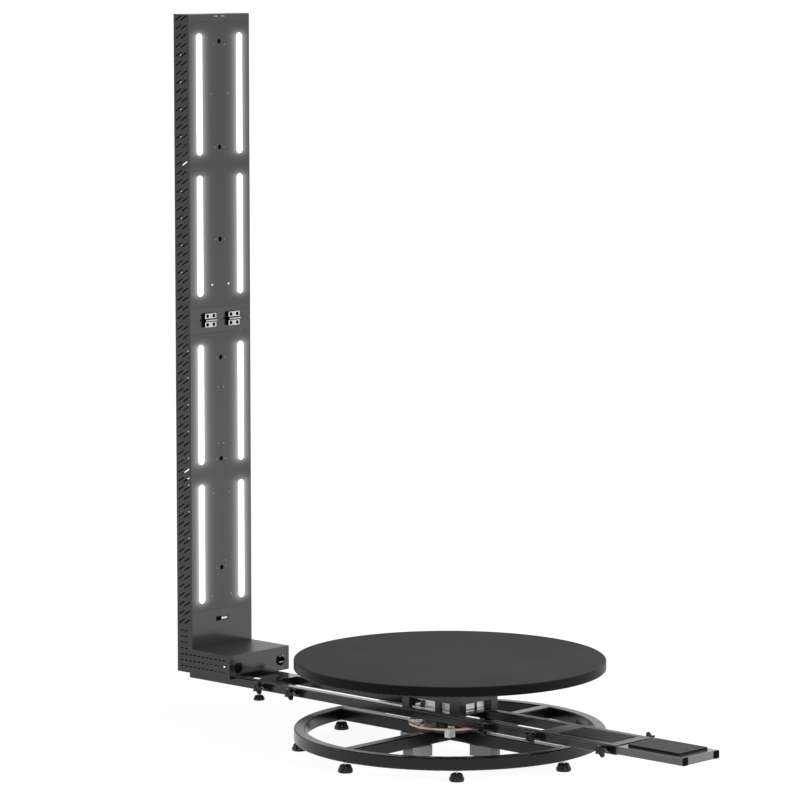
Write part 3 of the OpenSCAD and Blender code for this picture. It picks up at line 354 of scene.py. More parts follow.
frameCoat = {"grain": 620.0, "wearAndHighlight": 0.2, "dust": 0.02, "specular": 0.5}
frontCoat = {"colour": (0.005, 0.005, 0.0052, 1), "grain": 900.0, "mottle": 0.08, "smooth": 0.15,
             "coarse": 0.19, "wearAndHighlight": 0.15, "dust": 0.0, "bump": 0.02, "specular": 0.95}
weightCoat = {"side": (0.003, 0.003, 0.003, 1), "grain": 380.0, "mottle": 0.18, "smooth": 0.5,
              "coarse": 0.6, "wearAndHighlight": 0.1, "dust": 0.02, "bump": 0.08, "specular": 0.12}
coatSet = {
    "powderBlack": {**frameCoat, "colour": (0.011, 0.011, 0.012, 1), "mottle": 0.16, "smooth": 0.20,
                    "coarse": 0.28, "bump": 0.04},
    "railBlack": {**frameCoat, "colour": (0.014, 0.014, 0.015, 1), "mottle": 0.10, "smooth": 0.15,
                  "coarse": 0.18, "dust": 0.01, "bump": 0.01, "topCoat": 0.25, "dullPast": (0.02, 0.16),
                  "dullRough": 0.42},
    "trayBlack": {**frameCoat, "colour": (0.135, 0.135, 0.137, 1), "mottle": 0.12, "smooth": 0.22,
                  "coarse": 0.28, "dust": 0.01, "bump": 0.02, "topCoat": 0.5},
    "legGrey": {**frameCoat, "colour": (0.38, 0.38, 0.385, 1), "mottle": 0.14, "smooth": 0.30,
                "coarse": 0.40, "bump": 0.04, "specular": 0.4},
    "ringBlack": {**frameCoat, "colour": (0.004, 0.004, 0.0043, 1), "mottle": 0.10, "smooth": 0.20,
                  "coarse": 0.26, "bump": 0.02, "specular": 0.3, "topCoat": 0.12},
    "lowerFront": {**frontCoat, "halo": "lower"},
    "upperFront": {**frontCoat, "halo": "upper"},
    "boxBlack": {**frontCoat, "colour": (0.004, 0.004, 0.0042, 1), "smooth": 0.14, "coarse": 0.18,
                 "topRough": 0.44, "specular": 1.0},
    "weightPaint": {**weightCoat, "colour": (0.075, 0.075, 0.077, 1)},
    "insetPaint": {**weightCoat, "colour": (0.030, 0.030, 0.031, 1)},
}
coatDetail = {"wearAndHighlightTone": (0.16, 0.16, 0.165, 1), "wearAndHighlightWidth": 0.0016, "dustTone": (0.24, 0.235, 0.225, 1),
              "bumpDepth": 0.0004}
glowSet = {
    "lower": {"bars": (0.566, 1.036), "tone": (0.52, 0.52, 0.52, 1)},
    "upper": {"bars": (1.600, 2.070), "tone": (0.45, 0.45, 0.45, 1)},
    "half": 0.18875,
    "start": 0.01225,
    "reach": 0.0125,
    "ends": 1.75,
}


def addGlow(tree, shader, half):
    # the lit bars' glow on the sheet round them
    first, second = glowSet[half]["bars"]
    halo = placeEffect(tree, "lampHalo", First=first, Second=second, Half=glowSet["half"],
                       Reach=glowSet["reach"], Start=glowSet["start"], Ends=glowSet["ends"])
    light = mixColour(tree, halo["Glow"], plainBlack, glowSet[half]["tone"])
    feed(tree, shader, Emission_Color=light, Emission_Strength=1.0)


def makeCoat(name):
    chosen = {**coatDetail, **coatSet[name]}
    material, tree, shader = newMaterial(name, specular=chosen["specular"])
    coat = paintCoat(tree, chosen)
    wearAndHighlight = placeEffect(tree, "edgeWearAndHighlight", Width=chosen["wearAndHighlightWidth"], Amount=chosen["wearAndHighlight"])
    dust = placeEffect(tree, "dustFall", Amount=chosen["dust"])
    paint = coat["Colour"]
    rough = coat["Roughness"]
    # the weights' side faces take a near-black colour, their tops the grey paint
    if "side" in chosen:
        paint = mixColour(tree, facingUp(tree), chosen["side"], paint)
    if "topRough" in chosen:
        rise = times(tree, facingUp(tree), chosen["topRough"] - chosen["coarse"])
        rough = mathNode(tree, "ADD", rough, rise)
    if "dullPast" in chosen:
        # beyond this place along the arm the tops are not rubbed bright
        along = splitVector(tree, objectPlace(tree))["X"]
        most = chosen["dullRough"] - chosen["coarse"]
        past = remap(tree, along, *chosen["dullPast"], 0.0, most, smooth=True)
        rough = mathNode(tree, "ADD", rough, times(tree, facingUp(tree), past))
    if "topCoat" in chosen:
        feed(tree, shader, Coat_Weight=facingUp(tree, chosen["topCoat"]))
    if "halo" in chosen:
        addGlow(tree, shader, chosen["halo"])
    # pale edges: partly wear, partly painted highlight
    wornAndHighlit = mixColour(tree, wearAndHighlight["Mask"], paint, chosen["wearAndHighlightTone"])
    dusty = mixColour(tree, dust["Mask"], wornAndHighlit, chosen["dustTone"])
    feed(tree, shader, Base_Color=dusty, Roughness=rough)
    addBump(tree, shader, coat["Height"], chosen)
    return material


def makePanel(half):
    # front panels: finer coat, with the bars' glow on it
    panelSet = {"colour": (0.006, 0.0061, 0.0063, 1), "mottle": 0.08, "grain": 1100.0, "smooth": 0.16,
                "coarse": 0.20, "specular": 0.84, "bump": 0.04, "bumpDepth": 0.0003}
    material, tree, shader = newMaterial(half + "Panel", specular=panelSet["specular"])
    coat = paintCoat(tree, panelSet)
    feed(tree, shader, Base_Color=coat["Colour"], Roughness=coat["Roughness"])
    addGlow(tree, shader, half)
    addBump(tree, shader, coat["Height"], panelSet)
    return material


def makeLaminate():
    # platform: one matt laminate board; its top is painted a lighter grey than its near-black rim, as painted
    # light
    boardSet = {"colour": (0.056, 0.056, 0.057, 1), "mottle": 0.06, "grain": 1500.0, "smooth": 0.62,
                "coarse": 0.7, "specular": 0.07, "dust": 0.04, "bump": 0.06, "bumpDepth": 0.0003,
                "rim": (0.0035, 0.0035, 0.0038, 1), "rimRough": 0.38, "rimDrop": (0.0025, 0.0012)}
    material, tree, shader = newMaterial("platformLaminate", specular=boardSet["specular"])
    coat = paintCoat(tree, boardSet)
    dust = placeEffect(tree, "dustFall", Amount=boardSet["dust"])
    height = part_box("platform")[1].z
    rimLow, rimHigh = (height - drop for drop in boardSet["rimDrop"])
    top = remap(tree, splitVector(tree, objectPlace(tree))["Z"], rimLow, rimHigh, 0.0, 1.0)
    # painted light: the flat top takes a lighter grey than the near-black rim of the same board
    colour = mixColour(tree, top, boardSet["rim"], coat["Colour"])
    band = times(tree, mathNode(tree, "SUBTRACT", 1.0, top), boardSet["rimRough"])
    rough = mathNode(tree, "ADD", times(tree, coat["Roughness"], top), band)
    dusty = mixColour(tree, dust["Mask"], colour, coatDetail["dustTone"])
    feed(tree, shader, Base_Color=dusty, Roughness=rough)
    addBump(tree, shader, coat["Height"], boardSet)
    return material


# mouldings and blasted castings, with the tool's texture

mouldedParts = ("colour", "scale", "smooth", "coarse", "specular")
mouldedSet = {
    "mouldedBlack": ((0.004, 0.004, 0.0045, 1), 900.0, 0.12, 0.2, 0.3),
    "deepBlack": ((0.001, 0.001, 0.0011, 1), 900.0, 0.45, 0.55, 0.03),
    "creamInsulator": ((0.90, 0.85, 0.76, 1), 700.0, 0.4, 0.55, 0.4),
    "blastedAlloy": ((0.84, 0.84, 0.85, 1), 1200.0, 0.3, 0.4, 0.5),
    "whiteNylon": ((0.82, 0.82, 0.80, 1), 800.0, 0.35, 0.5, 0.4),
}
mouldedDetail = {"wearAndHighlightWidth": 0.001, "wearAndHighlight": 0.2, "wearAndHighlightGain": 2.2, "bump": 0.12, "bumpDepth": 0.0003}


def makeMoulded(name):
    chosen = {**mouldedDetail, **dict(zip(mouldedParts, mouldedSet[name]))}
    material, tree, shader = newMaterial(name, specular=chosen["specular"])
    plastic = mouldedSkin(tree, chosen)
    wearAndHighlight = placeEffect(tree, "edgeWearAndHighlight", Width=chosen["wearAndHighlightWidth"], Amount=chosen["wearAndHighlight"])
    # pale edges: partly wear, partly painted highlight
    wornAndHighlit = mixColour(tree, wearAndHighlight["Mask"], plastic["Colour"], brighter(chosen["colour"], chosen["wearAndHighlightGain"]))
    feed(tree, shader, Base_Color=wornAndHighlit, Roughness=plastic["Roughness"])
    addBump(tree, shader, plastic["Height"], chosen)
    return material


# bare metals, brushed along their length

greyStain = {"tone": (0.3, 0.3, 0.3, 1), "amount": 0.2}
copperStain = {"tone": (0.20, 0.09, 0.06, 1), "amount": 0.5}
metalParts = ("colour", "stretch", "depth", "stain")
metalSet = {
    "turnedSteel": ((0.60, 0.61, 0.63, 1), (1.0, 1.0, 60.0), 0.4, greyStain),
    "brightZinc": ((0.78, 0.79, 0.80, 1), (40.0, 1.0, 1.0), 0.25, greyStain),
    "plainAluminium": ((0.86, 0.87, 0.88, 1), (1.0, 30.0, 30.0), 0.3, greyStain),
    "bareCopper": ((0.80, 0.48, 0.41, 1), (1.0, 1.0, 60.0), 0.3, copperStain),
    "paleScrew": ((0.34, 0.34, 0.35, 1), (1.0, 1.0, 30.0), 0.2, greyStain),
}
metalDetail = {"wearAndHighlightWidth": 0.0012, "wearAndHighlight": 0.5, "wearAndHighlightGain": 1.25, "bump": 0.15, "bumpDepth": 0.0002,
               "scale": 48.0, "detail": 5.0, "rough": 0.65, "span": (0.55, 0.72)}


def makeMetal(name):
    chosen = {**metalDetail, **dict(zip(metalParts, metalSet[name]))}
    material, tree, shader = newMaterial(name, metallic=1.0)
    metal = placeEffect(tree, "brushedLines", Colour=chosen["colour"], Stretch=chosen["stretch"],
                        Depth=chosen["depth"])
    wearAndHighlight = placeEffect(tree, "edgeWearAndHighlight", Width=chosen["wearAndHighlightWidth"], Amount=chosen["wearAndHighlight"])
    stain = chosen["stain"]
    spots = remap(tree, noiseOf(tree, objectPlace(tree), chosen), *chosen["span"], 0.0, stain["amount"])
    spotted = mixColour(tree, spots, metal["Colour"], stain["tone"])
    # brighter edges: partly wear, partly painted highlight
    bright = mixColour(tree, wearAndHighlight["Mask"], spotted, brighter(chosen["colour"], chosen["wearAndHighlightGain"]))
    feed(tree, shader, Base_Color=bright, Roughness=metal["Roughness"])
    addBump(tree, shader, metal["Height"], chosen)
    return material


# finishes of single pieces

def makeHinge():
    # zinc on the leaves' fronts and knuckles; their edges, bores and the gaps between are painted black as
    # shade
    zincSet = {"tone": (0.47, 0.47, 0.475, 1), "gap": (0.002, 0.002, 0.002, 1), "specular": 0.1,
               "front": -1.0345, "ahead": (0.80, 0.92), "stretch": (1.0, 40.0, 1.0), "depth": 0.25,
               "bump": 0.1, "bumpDepth": 0.0002}
    material, tree, shader = newMaterial("hingeZinc", specular=zincSet["specular"])
    metal = placeEffect(tree, "brushedLines", Colour=zincSet["tone"], Stretch=zincSet["stretch"],
                        Depth=zincSet["depth"])
    ownNormal = addNode(tree, "ShaderNodeTexCoord").outputs["Normal"]
    ahead = remap(tree, splitVector(tree, ownNormal)["X"], *zincSet["ahead"], 0.0, 1.0, smooth=True)
    along = splitVector(tree, objectPlace(tree))["X"]
    # painted shade: faces that do not look forward, and all behind the front plane, are coloured black and
    # not metal
    shown = times(tree, ahead, mathNode(tree, "GREATER_THAN", along, zincSet["front"]))
    feed(tree, shader, Base_Color=mixColour(tree, shown, zincSet["gap"], metal["Colour"]), Metallic=shown,
         Roughness=metal["Roughness"])
    addBump(tree, shader, metal["Height"], zincSet)
    return material


def makeDiffuser():
    # opal bar lit from inside, a little dimmer towards its rim; its foot behind the panel stays dark
    opalSet = {"colour": (0.9, 0.9, 0.88, 1), "scale": 1400.0, "smooth": 0.3, "coarse": 0.42, "specular": 0.3,
               "tone": (1.0, 1.0, 1.0, 1), "edge": (0.86, 0.88, 0.90, 1), "edgeWidth": 0.003,
               "strength": 1.25, "foot": -1.0436, "bump": 0.05, "bumpDepth": 0.0002}
    material, tree, shader = newMaterial("litDiffuser", specular=opalSet["specular"])
    plastic = mouldedSkin(tree, opalSet)
    rim = placeEffect(tree, "edgeWearAndHighlight", Width=opalSet["edgeWidth"], Amount=1.0)
    face = mixColour(tree, rim["Mask"], opalSet["tone"], opalSet["edge"])
    shown = mathNode(tree, "GREATER_THAN", splitVector(tree, objectPlace(tree))["X"], opalSet["foot"])
    light = mixColour(tree, shown, plainBlack, face)
    feed(tree, shader, Base_Color=plastic["Colour"], Roughness=plastic["Roughness"], Emission_Color=light,
         Emission_Strength=opalSet["strength"])
    addBump(tree, shader, plastic["Height"], opalSet)
    return material


def makeIndicator():
    # clear cap with a small lamp behind it
    capSet = {"colour": (0.85, 0.85, 0.83, 1), "scale": 1200.0, "smooth": 0.2, "coarse": 0.3, "specular": 0.5,
              "flicker": 300.0, "dim": (0.9, 0.9, 0.9, 1), "bright": (1, 1, 1, 1)}
    material, tree, shader = newMaterial("indicatorGlow", specular=capSet["specular"])
    plastic = mouldedSkin(tree, capSet)
    uneven = noise(tree, objectPlace(tree), capSet["flicker"])
    light = mixColour(tree, uneven, capSet["dim"], capSet["bright"])
    feed(tree, shader, Base_Color=plastic["Colour"], Roughness=plastic["Roughness"], Emission_Color=light,
         Emission_Strength=1.0)
    return material


def makeLensGlass():
    # coated front glass: dark, clear gloss, faint blue and violet rings
    glassSet = {"blue": (0.004, 0.006, 0.012, 1), "violet": (0.018, 0.010, 0.030, 1), "ringScale": 120.0,
                "wobble": 0.4, "smear": 200.0, "rough": (0.04, 0.09), "specular": 0.6, "coat": 0.6,
                "coatRough": 0.03}
    material, tree, shader = newMaterial("lensGlass", specular=glassSet["specular"],
                                         coatWeight=glassSet["coat"], coatRoughness=glassSet["coatRough"])
    rings = addNode(tree, "ShaderNodeTexWave", wave_type="RINGS", rings_direction="X")
    feed(tree, rings, Vector=objectPlace(tree), Scale=glassSet["ringScale"], Distortion=glassSet["wobble"])
    colour = mixColour(tree, rings.outputs["Fac"], glassSet["blue"], glassSet["violet"])
    rough = remap(tree, noise(tree, objectPlace(tree), glassSet["smear"]), *noiseSpan, *glassSet["rough"])
    feed(tree, shader, Base_Color=colour, Roughness=rough)
    return material


def makeCircuit():
    # green solder mask with copper lines below it
    maskSet = {"dark": (0.02, 0.13, 0.06, 1), "pale": (0.03, 0.18, 0.08, 1), "line": (0.10, 0.30, 0.12, 1),
               "scale": 60.0, "width": 0.03, "smear": 300.0, "rough": (0.28, 0.4), "specular": 0.5,
               "bump": 0.2, "bumpDepth": 0.0002}
    material, tree, shader = newMaterial("circuitGreen", specular=maskSet["specular"])
    lines = addNode(tree, "ShaderNodeTexBrick", offset=0.5, squash=1.0)
    feed(tree, lines, Vector=objectPlace(tree), Color1=maskSet["dark"], Color2=maskSet["pale"],
         Mortar=maskSet["line"], Scale=maskSet["scale"], Mortar_Size=maskSet["width"])
    rough = remap(tree, noise(tree, objectPlace(tree), maskSet["smear"]), *noiseSpan, *maskSet["rough"])
    feed(tree, shader, Base_Color=lines.outputs["Color"], Roughness=rough)
    addBump(tree, shader, lines.outputs["Fac"], maskSet)
    return material


made = [makeCoat(name) for name in coatSet]
made += [makePanel("lower"), makePanel("upper"), makeLaminate()]
made += [makeMoulded(name) for name in mouldedSet]
made += [makeMetal(name) for name in metalSet]
made += [makeHinge(), makeDiffuser(), makeIndicator(), makeLensGlass(), makeCircuit()]
finishes = {material.name: material for material in made}
print("finishes:", len(finishes))

nodeFinish = {
    "powderBlack": ["lower_cheeks", "lower_back_panel", "foot_box_floor", "upper_cheeks", "upper_back_panel",
                    "support_column"],
    "railBlack": ["arm_frame", "hub_cage", "mast_frame", "weight_frame"],
    "trayBlack": ["tray_frame"],
    "legGrey": ["centre_legs"],
    "ringBlack": ["base_ring", "cross_beams"],
    "lowerFront": ["lower_front_frame"],
    "upperFront": ["upper_front_frame"],
    "boxBlack": ["foot_box_cover"],
    "lowerPanel": ["lower_front_panel"],
    "upperPanel": ["upper_front_panel"],
    "platformLaminate": ["platform"],
    "mouldedBlack": ["brush_holders", "lower_cameras", "upper_cameras"],
    "deepBlack": ["power_socket", "power_button", "tray_end_caps"],
    "creamInsulator": ["slip_ring_blocks"],
    "turnedSteel": ["sun_gear", "hub_bearings", "drive_pinion"],
    "hingeZinc": ["lower_hinge_leaves", "upper_hinge_leaves"],
    "plainAluminium": ["drive_motor", "power_supply"],
    "blastedAlloy": ["ring_terminal", "hub_plates"],
    "bareCopper": ["slip_ring"],
    "litDiffuser": ["lower_light_bars", "upper_light_bars"],
    "circuitGreen": ["control_board"],
    "weightPaint": ["outer_weight"],
    "insetPaint": ["inner_weight"],
}
for finish, names in nodeFinish.items():
    for name in names:
        cadNodes[name].data.materials.clear()
        cadNodes[name].data.materials.append(finishes[finish])
print("cad nodes finished:", sum(len(n) for n in nodeFinish.values()))


# mesh helpers

unmoved = Matrix.Identity(4)
forward = (1, 0, 0)


def outlineFactor(angle, shape=None):
    # shape: None for round, "hex", or (lobes, depth, power) for a scalloped outline
    if shape is None:
        return 1.0
    if shape == "hex":
        return math.cos(math.pi / 6) / math.cos(angle % (math.pi / 3) - math.pi / 6)
    lobes, depth, power = shape
    return 1.0 - depth * (0.5 - 0.5 * math.cos(lobes * angle)) ** power


def stampRings(bm, rings, steps, matrix, index=0, hoop=False):
    # closed form from rings (radius, height) or (radius, height, shape), ends capped or joined to a hoop
    loops = []
    for radius, height, *shape in rings:
        loop = []
        for k in range(steps):
            angle = 2 * math.pi * k / steps
            r = radius * outlineFactor(angle, *shape)
            loop.append(bm.verts.new(matrix @ Vector((r * math.cos(angle), r * math.sin(angle), height))))
        loops.append(loop)
    follow = loops[1:] + loops[:1] if hoop else loops[1:]
    for low, high in zip(loops, follow):
        for k in range(steps):
            face = bm.faces.new((low[k], low[(k + 1) % steps], high[(k + 1) % steps], high[k]))
            face.material_index = index
    if not hoop:
        bm.faces.new(list(reversed(loops[0]))).material_index = index
        bm.faces.new(loops[-1]).material_index = index


def stampBlock(bm, low, high, index=0, bevel=0.0):
    # box between two corners, its edges bevelled where a bevel is given
    made = bmesh.ops.create_cube(bm, size=1.0)
    size = Vector(high) - Vector(low)
    middle = (Vector(high) + Vector(low)) / 2
    for v in made["verts"]:
        v.co = Vector((v.co.x * size.x, v.co.y * size.y, v.co.z * size.z)) + middle
    faces = {f for v in made["verts"] for f in v.link_faces}
    if bevel:
        edges = list({e for v in made["verts"] for e in v.link_edges})
        shaped = bmesh.ops.bevel(bm, geom=edges, offset=bevel, segments=2, affect="EDGES", profile=0.5)
        faces = {f for v in shaped["verts"] for f in v.link_faces}
    for f in faces:
        f.material_index = index


def finishMesh(name, bm, finishNames, sharpAngle):
    bmesh.ops.recalc_face_normals(bm, faces=bm.faces[:])
    mesh = bpy.data.meshes.new(name)
    bm.to_mesh(mesh)
    bm.free()
    for finishName in finishNames:
        mesh.materials.append(finishes[finishName])
    for face in mesh.polygons:
        face.use_smooth = True
    mesh.set_sharp_from_angle(angle=math.radians(sharpAngle))
    return mesh


def placePiece(name, mesh, body, replaced=(), matrix=None):
    piece = bpy.data.objects.new(name, mesh)
    scene.collection.objects.link(piece)
    if matrix is not None:
        piece.matrix_world = matrix
    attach(piece, body)
    if replaced:
        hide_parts(*replaced)


def makePiece(name, bm, body, finishNames, sharpAngle=38):
    placePiece(name, finishMesh(name, bm, finishNames, sharpAngle), body)


def at(place, axis=(0, 0, 1)):
    # matrix that moves to a place and lays local +Z along an axis
    return Matrix.Translation(Vector(place)) @ Vector(axis).to_track_quat("Z", "Y").to_matrix().to_4x4()


# star knobs: five-armed grip on a neck, with a steel stud into the rail

knobSet = {
    "arms": (5, 0.52, 0.6),
    "soft": (5, 0.46, 0.6),
    "radius": 23 * mm,
    "neck": 17 * mm,
    "thick": 19 * mm,
    "steps": 80,
    "studRadius": 4 * mm,
    "studReach": 2 * mm,
    "studSteps": 24,
    "sharpAngle": 50,
}


def buildStarKnob():
    bm = bmesh.new()
    r, neck, thick = knobSet["radius"], knobSet["neck"], knobSet["thick"]
    arms, soft = knobSet["arms"], knobSet["soft"]
    top = neck + thick
    rings = [
        (r * 0.30, 0.3 * mm), (r * 0.36, 0.8 * mm), (r * 0.38, 3 * mm), (r * 0.38, neck - 3 * mm),
        (r * 0.46, neck - 1 * mm), (r * 0.66, neck, soft), (r * 0.93, neck + 1.2 * mm, arms),
        (r * 0.99, neck + 4 * mm, arms), (r, neck + thick * 0.5, arms), (r * 0.99, top - 5 * mm, arms),
        (r * 0.93, top - 2 * mm, arms), (r * 0.80, top - 0.5 * mm, soft), (r * 0.50, top),
        (r * 0.42, top), (r * 0.40, top - 0.8 * mm), (r * 0.20, top - 1.0 * mm),
    ]
    stampRings(bm, rings, knobSet["steps"], unmoved)
    stud = knobSet["studRadius"]
    thread = [(stud, -knobSet["studReach"]), (stud, 0.1 * mm), (stud * 0.9, 0.5 * mm)]
    stampRings(bm, thread, knobSet["studSteps"], unmoved, 1)
    return finishMesh("starKnob", bm, ["mouldedBlack", "turnedSteel"], knobSet["sharpAngle"])


starMesh = buildStarKnob()
railHalf = 90 * mm
railMid = 119 * mm
knobPlaces = {
    "knob_mast_outer_near": (-753, -1), "knob_mast_outer_far": (-753, 1),
    "knob_mast_inner_near": (-606, -1), "knob_mast_inner_far": (-606, 1),
    "knob_weight_inner_near": (247, -1),
    "knob_weight_outer_near": (447, -1), "knob_weight_outer_far": (447, 1),
    "knob_tray_near": (733, -1), "knob_tray_far": (733, 1),
}
for name, (x, side) in knobPlaces.items():
    spot = at((x * mm, side * railHalf, railMid), (0, side, 0))
    placePiece("grip_" + name, starMesh, name, (name,), spot)
print("star knobs:", len(knobPlaces))

# levelling feet and the hand wheel: lobed skirt, notched crown, zinc stud

wheelSet = {
    "skirt": (7, 0.16, 1.8),
    "crown": (7, 0.26, 1.6),
    "steps": 96,
    "studSteps": 24,
    "sharpAngle": 40,
    "foot": {"d": 48 * mm, "h": 26 * mm, "stud": 4 * mm, "studTop": 57.5 * mm, "count": 8, "ring": 482 * mm},
    "hand": {"d": 38 * mm, "h": 17 * mm, "stud": 4 * mm, "studTop": 38.7 * mm,
             "place": (-791 * mm, -75 * mm, 67 * mm)},
}


def buildWheel(name, sizes):
    bm = bmesh.new()
    r, h, stud, top = sizes["d"] / 2, sizes["h"], sizes["stud"], sizes["studTop"]
    skirt, crown = wheelSet["skirt"], wheelSet["crown"]
    rings = [
        (r * 0.86, 0.0), (r * 0.95, 0.5 * mm, skirt), (r, 1.5 * mm, skirt), (r, h * 0.36, skirt),
        (r * 0.97, h * 0.42, skirt), (r * 0.93, h * 0.44, crown), (r * 0.86, h * 0.64, crown),
        (r * 0.76, h * 0.84, crown), (r * 0.66, h * 0.95, crown), (r * 0.56, h, crown),
        (stud * 1.7, h), (stud * 1.5, h - 1.6 * mm), (stud * 1.05, h - 1.8 * mm),
    ]
    stampRings(bm, rings, wheelSet["steps"], unmoved)
    shaft = [(stud, h - 1 * mm), (stud, top - 0.4 * mm), (stud * 0.9, top)]
    stampRings(bm, shaft, wheelSet["studSteps"], unmoved, 1)
    return finishMesh(name, bm, ["mouldedBlack", "brightZinc"], wheelSet["sharpAngle"])


footMesh = buildWheel("levellingWheel", wheelSet["foot"])
footCount = wheelSet["foot"]["count"]
for n in range(footCount):
    turn = math.radians(360 * n / footCount)
    spot = Matrix.Rotation(turn, 4, "Z") @ Matrix.Translation((wheelSet["foot"]["ring"], 0, 0))
    placePiece(f"wheel_foot_{n + 1}", footMesh, f"foot_{n + 1}", (f"foot_{n + 1}",), spot)
handMesh = buildWheel("handWheel", wheelSet["hand"])
placePiece("wheel_under_near", handMesh, "knob_under_near", ("knob_under_near",),
           Matrix.Translation(wheelSet["hand"]["place"]))
print("wheels:", footCount + 1)

# small screws and rivets

screwSet = {
    "head": 3.2 * mm,
    "rise": 1.4 * mm,
    "socket": 1.6 * mm,
    "deep": 1.0 * mm,
}


def stampScrew(bm, place, scale, index):
    head, rise, socket, deep = (screwSet[k] * scale for k in ("head", "rise", "socket", "deep"))
    rings = [
        (head * 0.9, -0.4 * mm), (head, 0.0), (head * 0.96, rise * 0.45), (head * 0.76, rise * 0.88),
        (socket * 1.25, rise), (socket, rise, "hex"), (socket * 0.96, rise - deep, "hex"),
    ]
    stampRings(bm, rings, 24, at(place, forward), index)


def stampRivet(bm, place, axis, radius, rise, index=0):
    rings = [(radius * 0.96, -0.3 * mm), (radius, 0.0), (radius * 0.94, rise * 0.4),
             (radius * 0.7, rise * 0.82), (radius * 0.3, rise)]
    stampRings(bm, rings, 20, at(place, axis), index)


frontFace = -1042 * mm
panelDots = {
    "upper": [(2070, 38.5, "small"), (1435, 38.0, "bright")],
    "lower": [(1090, 12.4, "small"), (899, 13.0, "small"), (732, 37.3, "small"), (384.5, 44.5, "small")],
}
cameraHeights = {"upper": [2244, 1893, 1586], "lower": [1190, 848, 478]}
cameraDots = {
    "usual": ((-20.5, -1), (20.5, -1)),
    2244: ((-26, -11), (26, -11)),
    478: ((18, 22), (20, 1), (-20, -1), (-18, -23)),
}
dotKinds = {
    "small": {"scale": 0.9, "index": 0},
    "bright": {"scale": 1.3, "index": 1},
    "camera": {"scale": 0.75, "index": 0},
}
halfBody = {"upper": "upper_mast", "lower": "mast_section"}

for half, body in halfBody.items():
    bm = bmesh.new()
    for z, y, kind in panelDots[half]:
        for side in (-1, 1):
            stampScrew(bm, (frontFace, side * y * mm, z * mm), **dotKinds[kind])
    for z in cameraHeights[half]:
        for y, rise in cameraDots.get(z, cameraDots["usual"]):
            stampScrew(bm, (frontFace, y * mm, (z + rise) * mm), **dotKinds["camera"])
    makePiece("panel_screws_" + half, bm, body, ["paleScrew", "brightZinc"])

rivetSet = {
    "radius": 2.2 * mm,
    "rise": 0.9 * mm,
    "upper": {"x": -1080.5, "heights": (1481, 1571, 1661, 1751, 1931, 2021, 2111, 2201)},
    "lower": {"x": -1054.0, "heights": (590, 680, 770, 860, 950, 1040, 1130, 1220)},
}
cheekOuter = 140 * mm
for half, body in halfBody.items():
    bm = bmesh.new()
    row = rivetSet[half]
    for z in row["heights"]:
        for side in (-1, 1):
            place = (row["x"] * mm, side * cheekOuter, z * mm)
            stampRivet(bm, place, (0, side, 0), rivetSet["radius"], rivetSet["rise"])
    makePiece("cheek_rivets_" + half, bm, body, ["brightZinc"])
print("screws and rivets placed")

# cameras: front glass deep in each barrel

lensSet = {"glass": 6.4 * mm, "deep": 8.9 * mm}
glass, base = lensSet["glass"], -lensSet["deep"]
lensRings = [(glass, base), (glass, base + 0.6 * mm), (glass * 0.8, base + 1.05 * mm),
             (glass * 0.45, base + 1.3 * mm), (glass * 0.12, base + 1.4 * mm)]
for half, body in halfBody.items():
    bm = bmesh.new()
    for z in cameraHeights[half]:
        stampRings(bm, lensRings, 32, at((frontFace, 0, z * mm), forward))
    makePiece("lens_glass_" + half, bm, body, ["lensGlass"], sharpAngle=60)
print("lenses placed")

# fold hinges: wide flat screws in each leaf

hingeSet = {"y": 54.5, "screwY": 14.5, "screwZ": 14.5, "face": -1032.3, "fold": 1318, "head": 6.3 * mm}
r = hingeSet["head"]
hingeRings = [(r * 0.8, -2.0 * mm), (r * 0.82, -0.1 * mm), (r, 0.04 * mm), (r, 0.10 * mm),
              (r * 0.94, 0.18 * mm), (r * 0.42, 0.18 * mm), (r * 0.36, 0.18 * mm, "hex"),
              (r * 0.34, -1.2 * mm, "hex")]
for half, lift in (("upper", 1), ("lower", -1)):
    bm = bmesh.new()
    z = hingeSet["fold"] + lift * hingeSet["screwZ"]
    for side in (-1, 1):
        for part in (-1, 1):
            y = side * hingeSet["y"] + part * hingeSet["screwY"]
            stampRings(bm, hingeRings, 30, at((hingeSet["face"] * mm, y * mm, z * mm), forward))
    makePiece("hinge_screws_" + half, bm, halfBody[half], ["deepBlack"])
print("hinge screws placed")

# small lights and the port on the mast's front

lightRow = {"z": 2327, "y": (-19, -9, 1.5, 12, 22), "radius": 2.1 * mm, "rise": 0.7 * mm, "dark": 2}
bm = bmesh.new()
for n, y in enumerate(lightRow["y"]):
    index = 1 if n == lightRow["dark"] else 0
    place = (frontFace, y * mm, lightRow["z"] * mm)
    stampRivet(bm, place, forward, lightRow["radius"], lightRow["rise"], index)
makePiece("top_light_row", bm, "upper_mast", ["whiteNylon", "mouldedBlack"], sharpAngle=60)

portSet = {
    "z": 304.5,
    "floor": frontFace - 3.0 * mm,
    "sink": 0.2 * mm,
    "tab": {"y": (-2, 25), "half": 3.4, "front": frontFace - 0.4 * mm, "bevel": 0.6 * mm},
    "pin": {"y": (-22, -16, -10), "wide": 1.2, "half": 4, "rise": 0.4 * mm, "bevel": 0.3 * mm},
    "liner": {"y": (-27.9, -2.1), "half": 7.4, "front": frontFace - 0.5 * mm},
}


def stampPort(bm, back, front, ySpan, half, index, bevel=0.0):
    low = (back, ySpan[0] * mm, (portSet["z"] - half) * mm)
    high = (front, ySpan[1] * mm, (portSet["z"] + half) * mm)
    stampBlock(bm, low, high, index, bevel)


bm = bmesh.new()
tab, pin, liner = portSet["tab"], portSet["pin"], portSet["liner"]
back = portSet["floor"] - portSet["sink"]
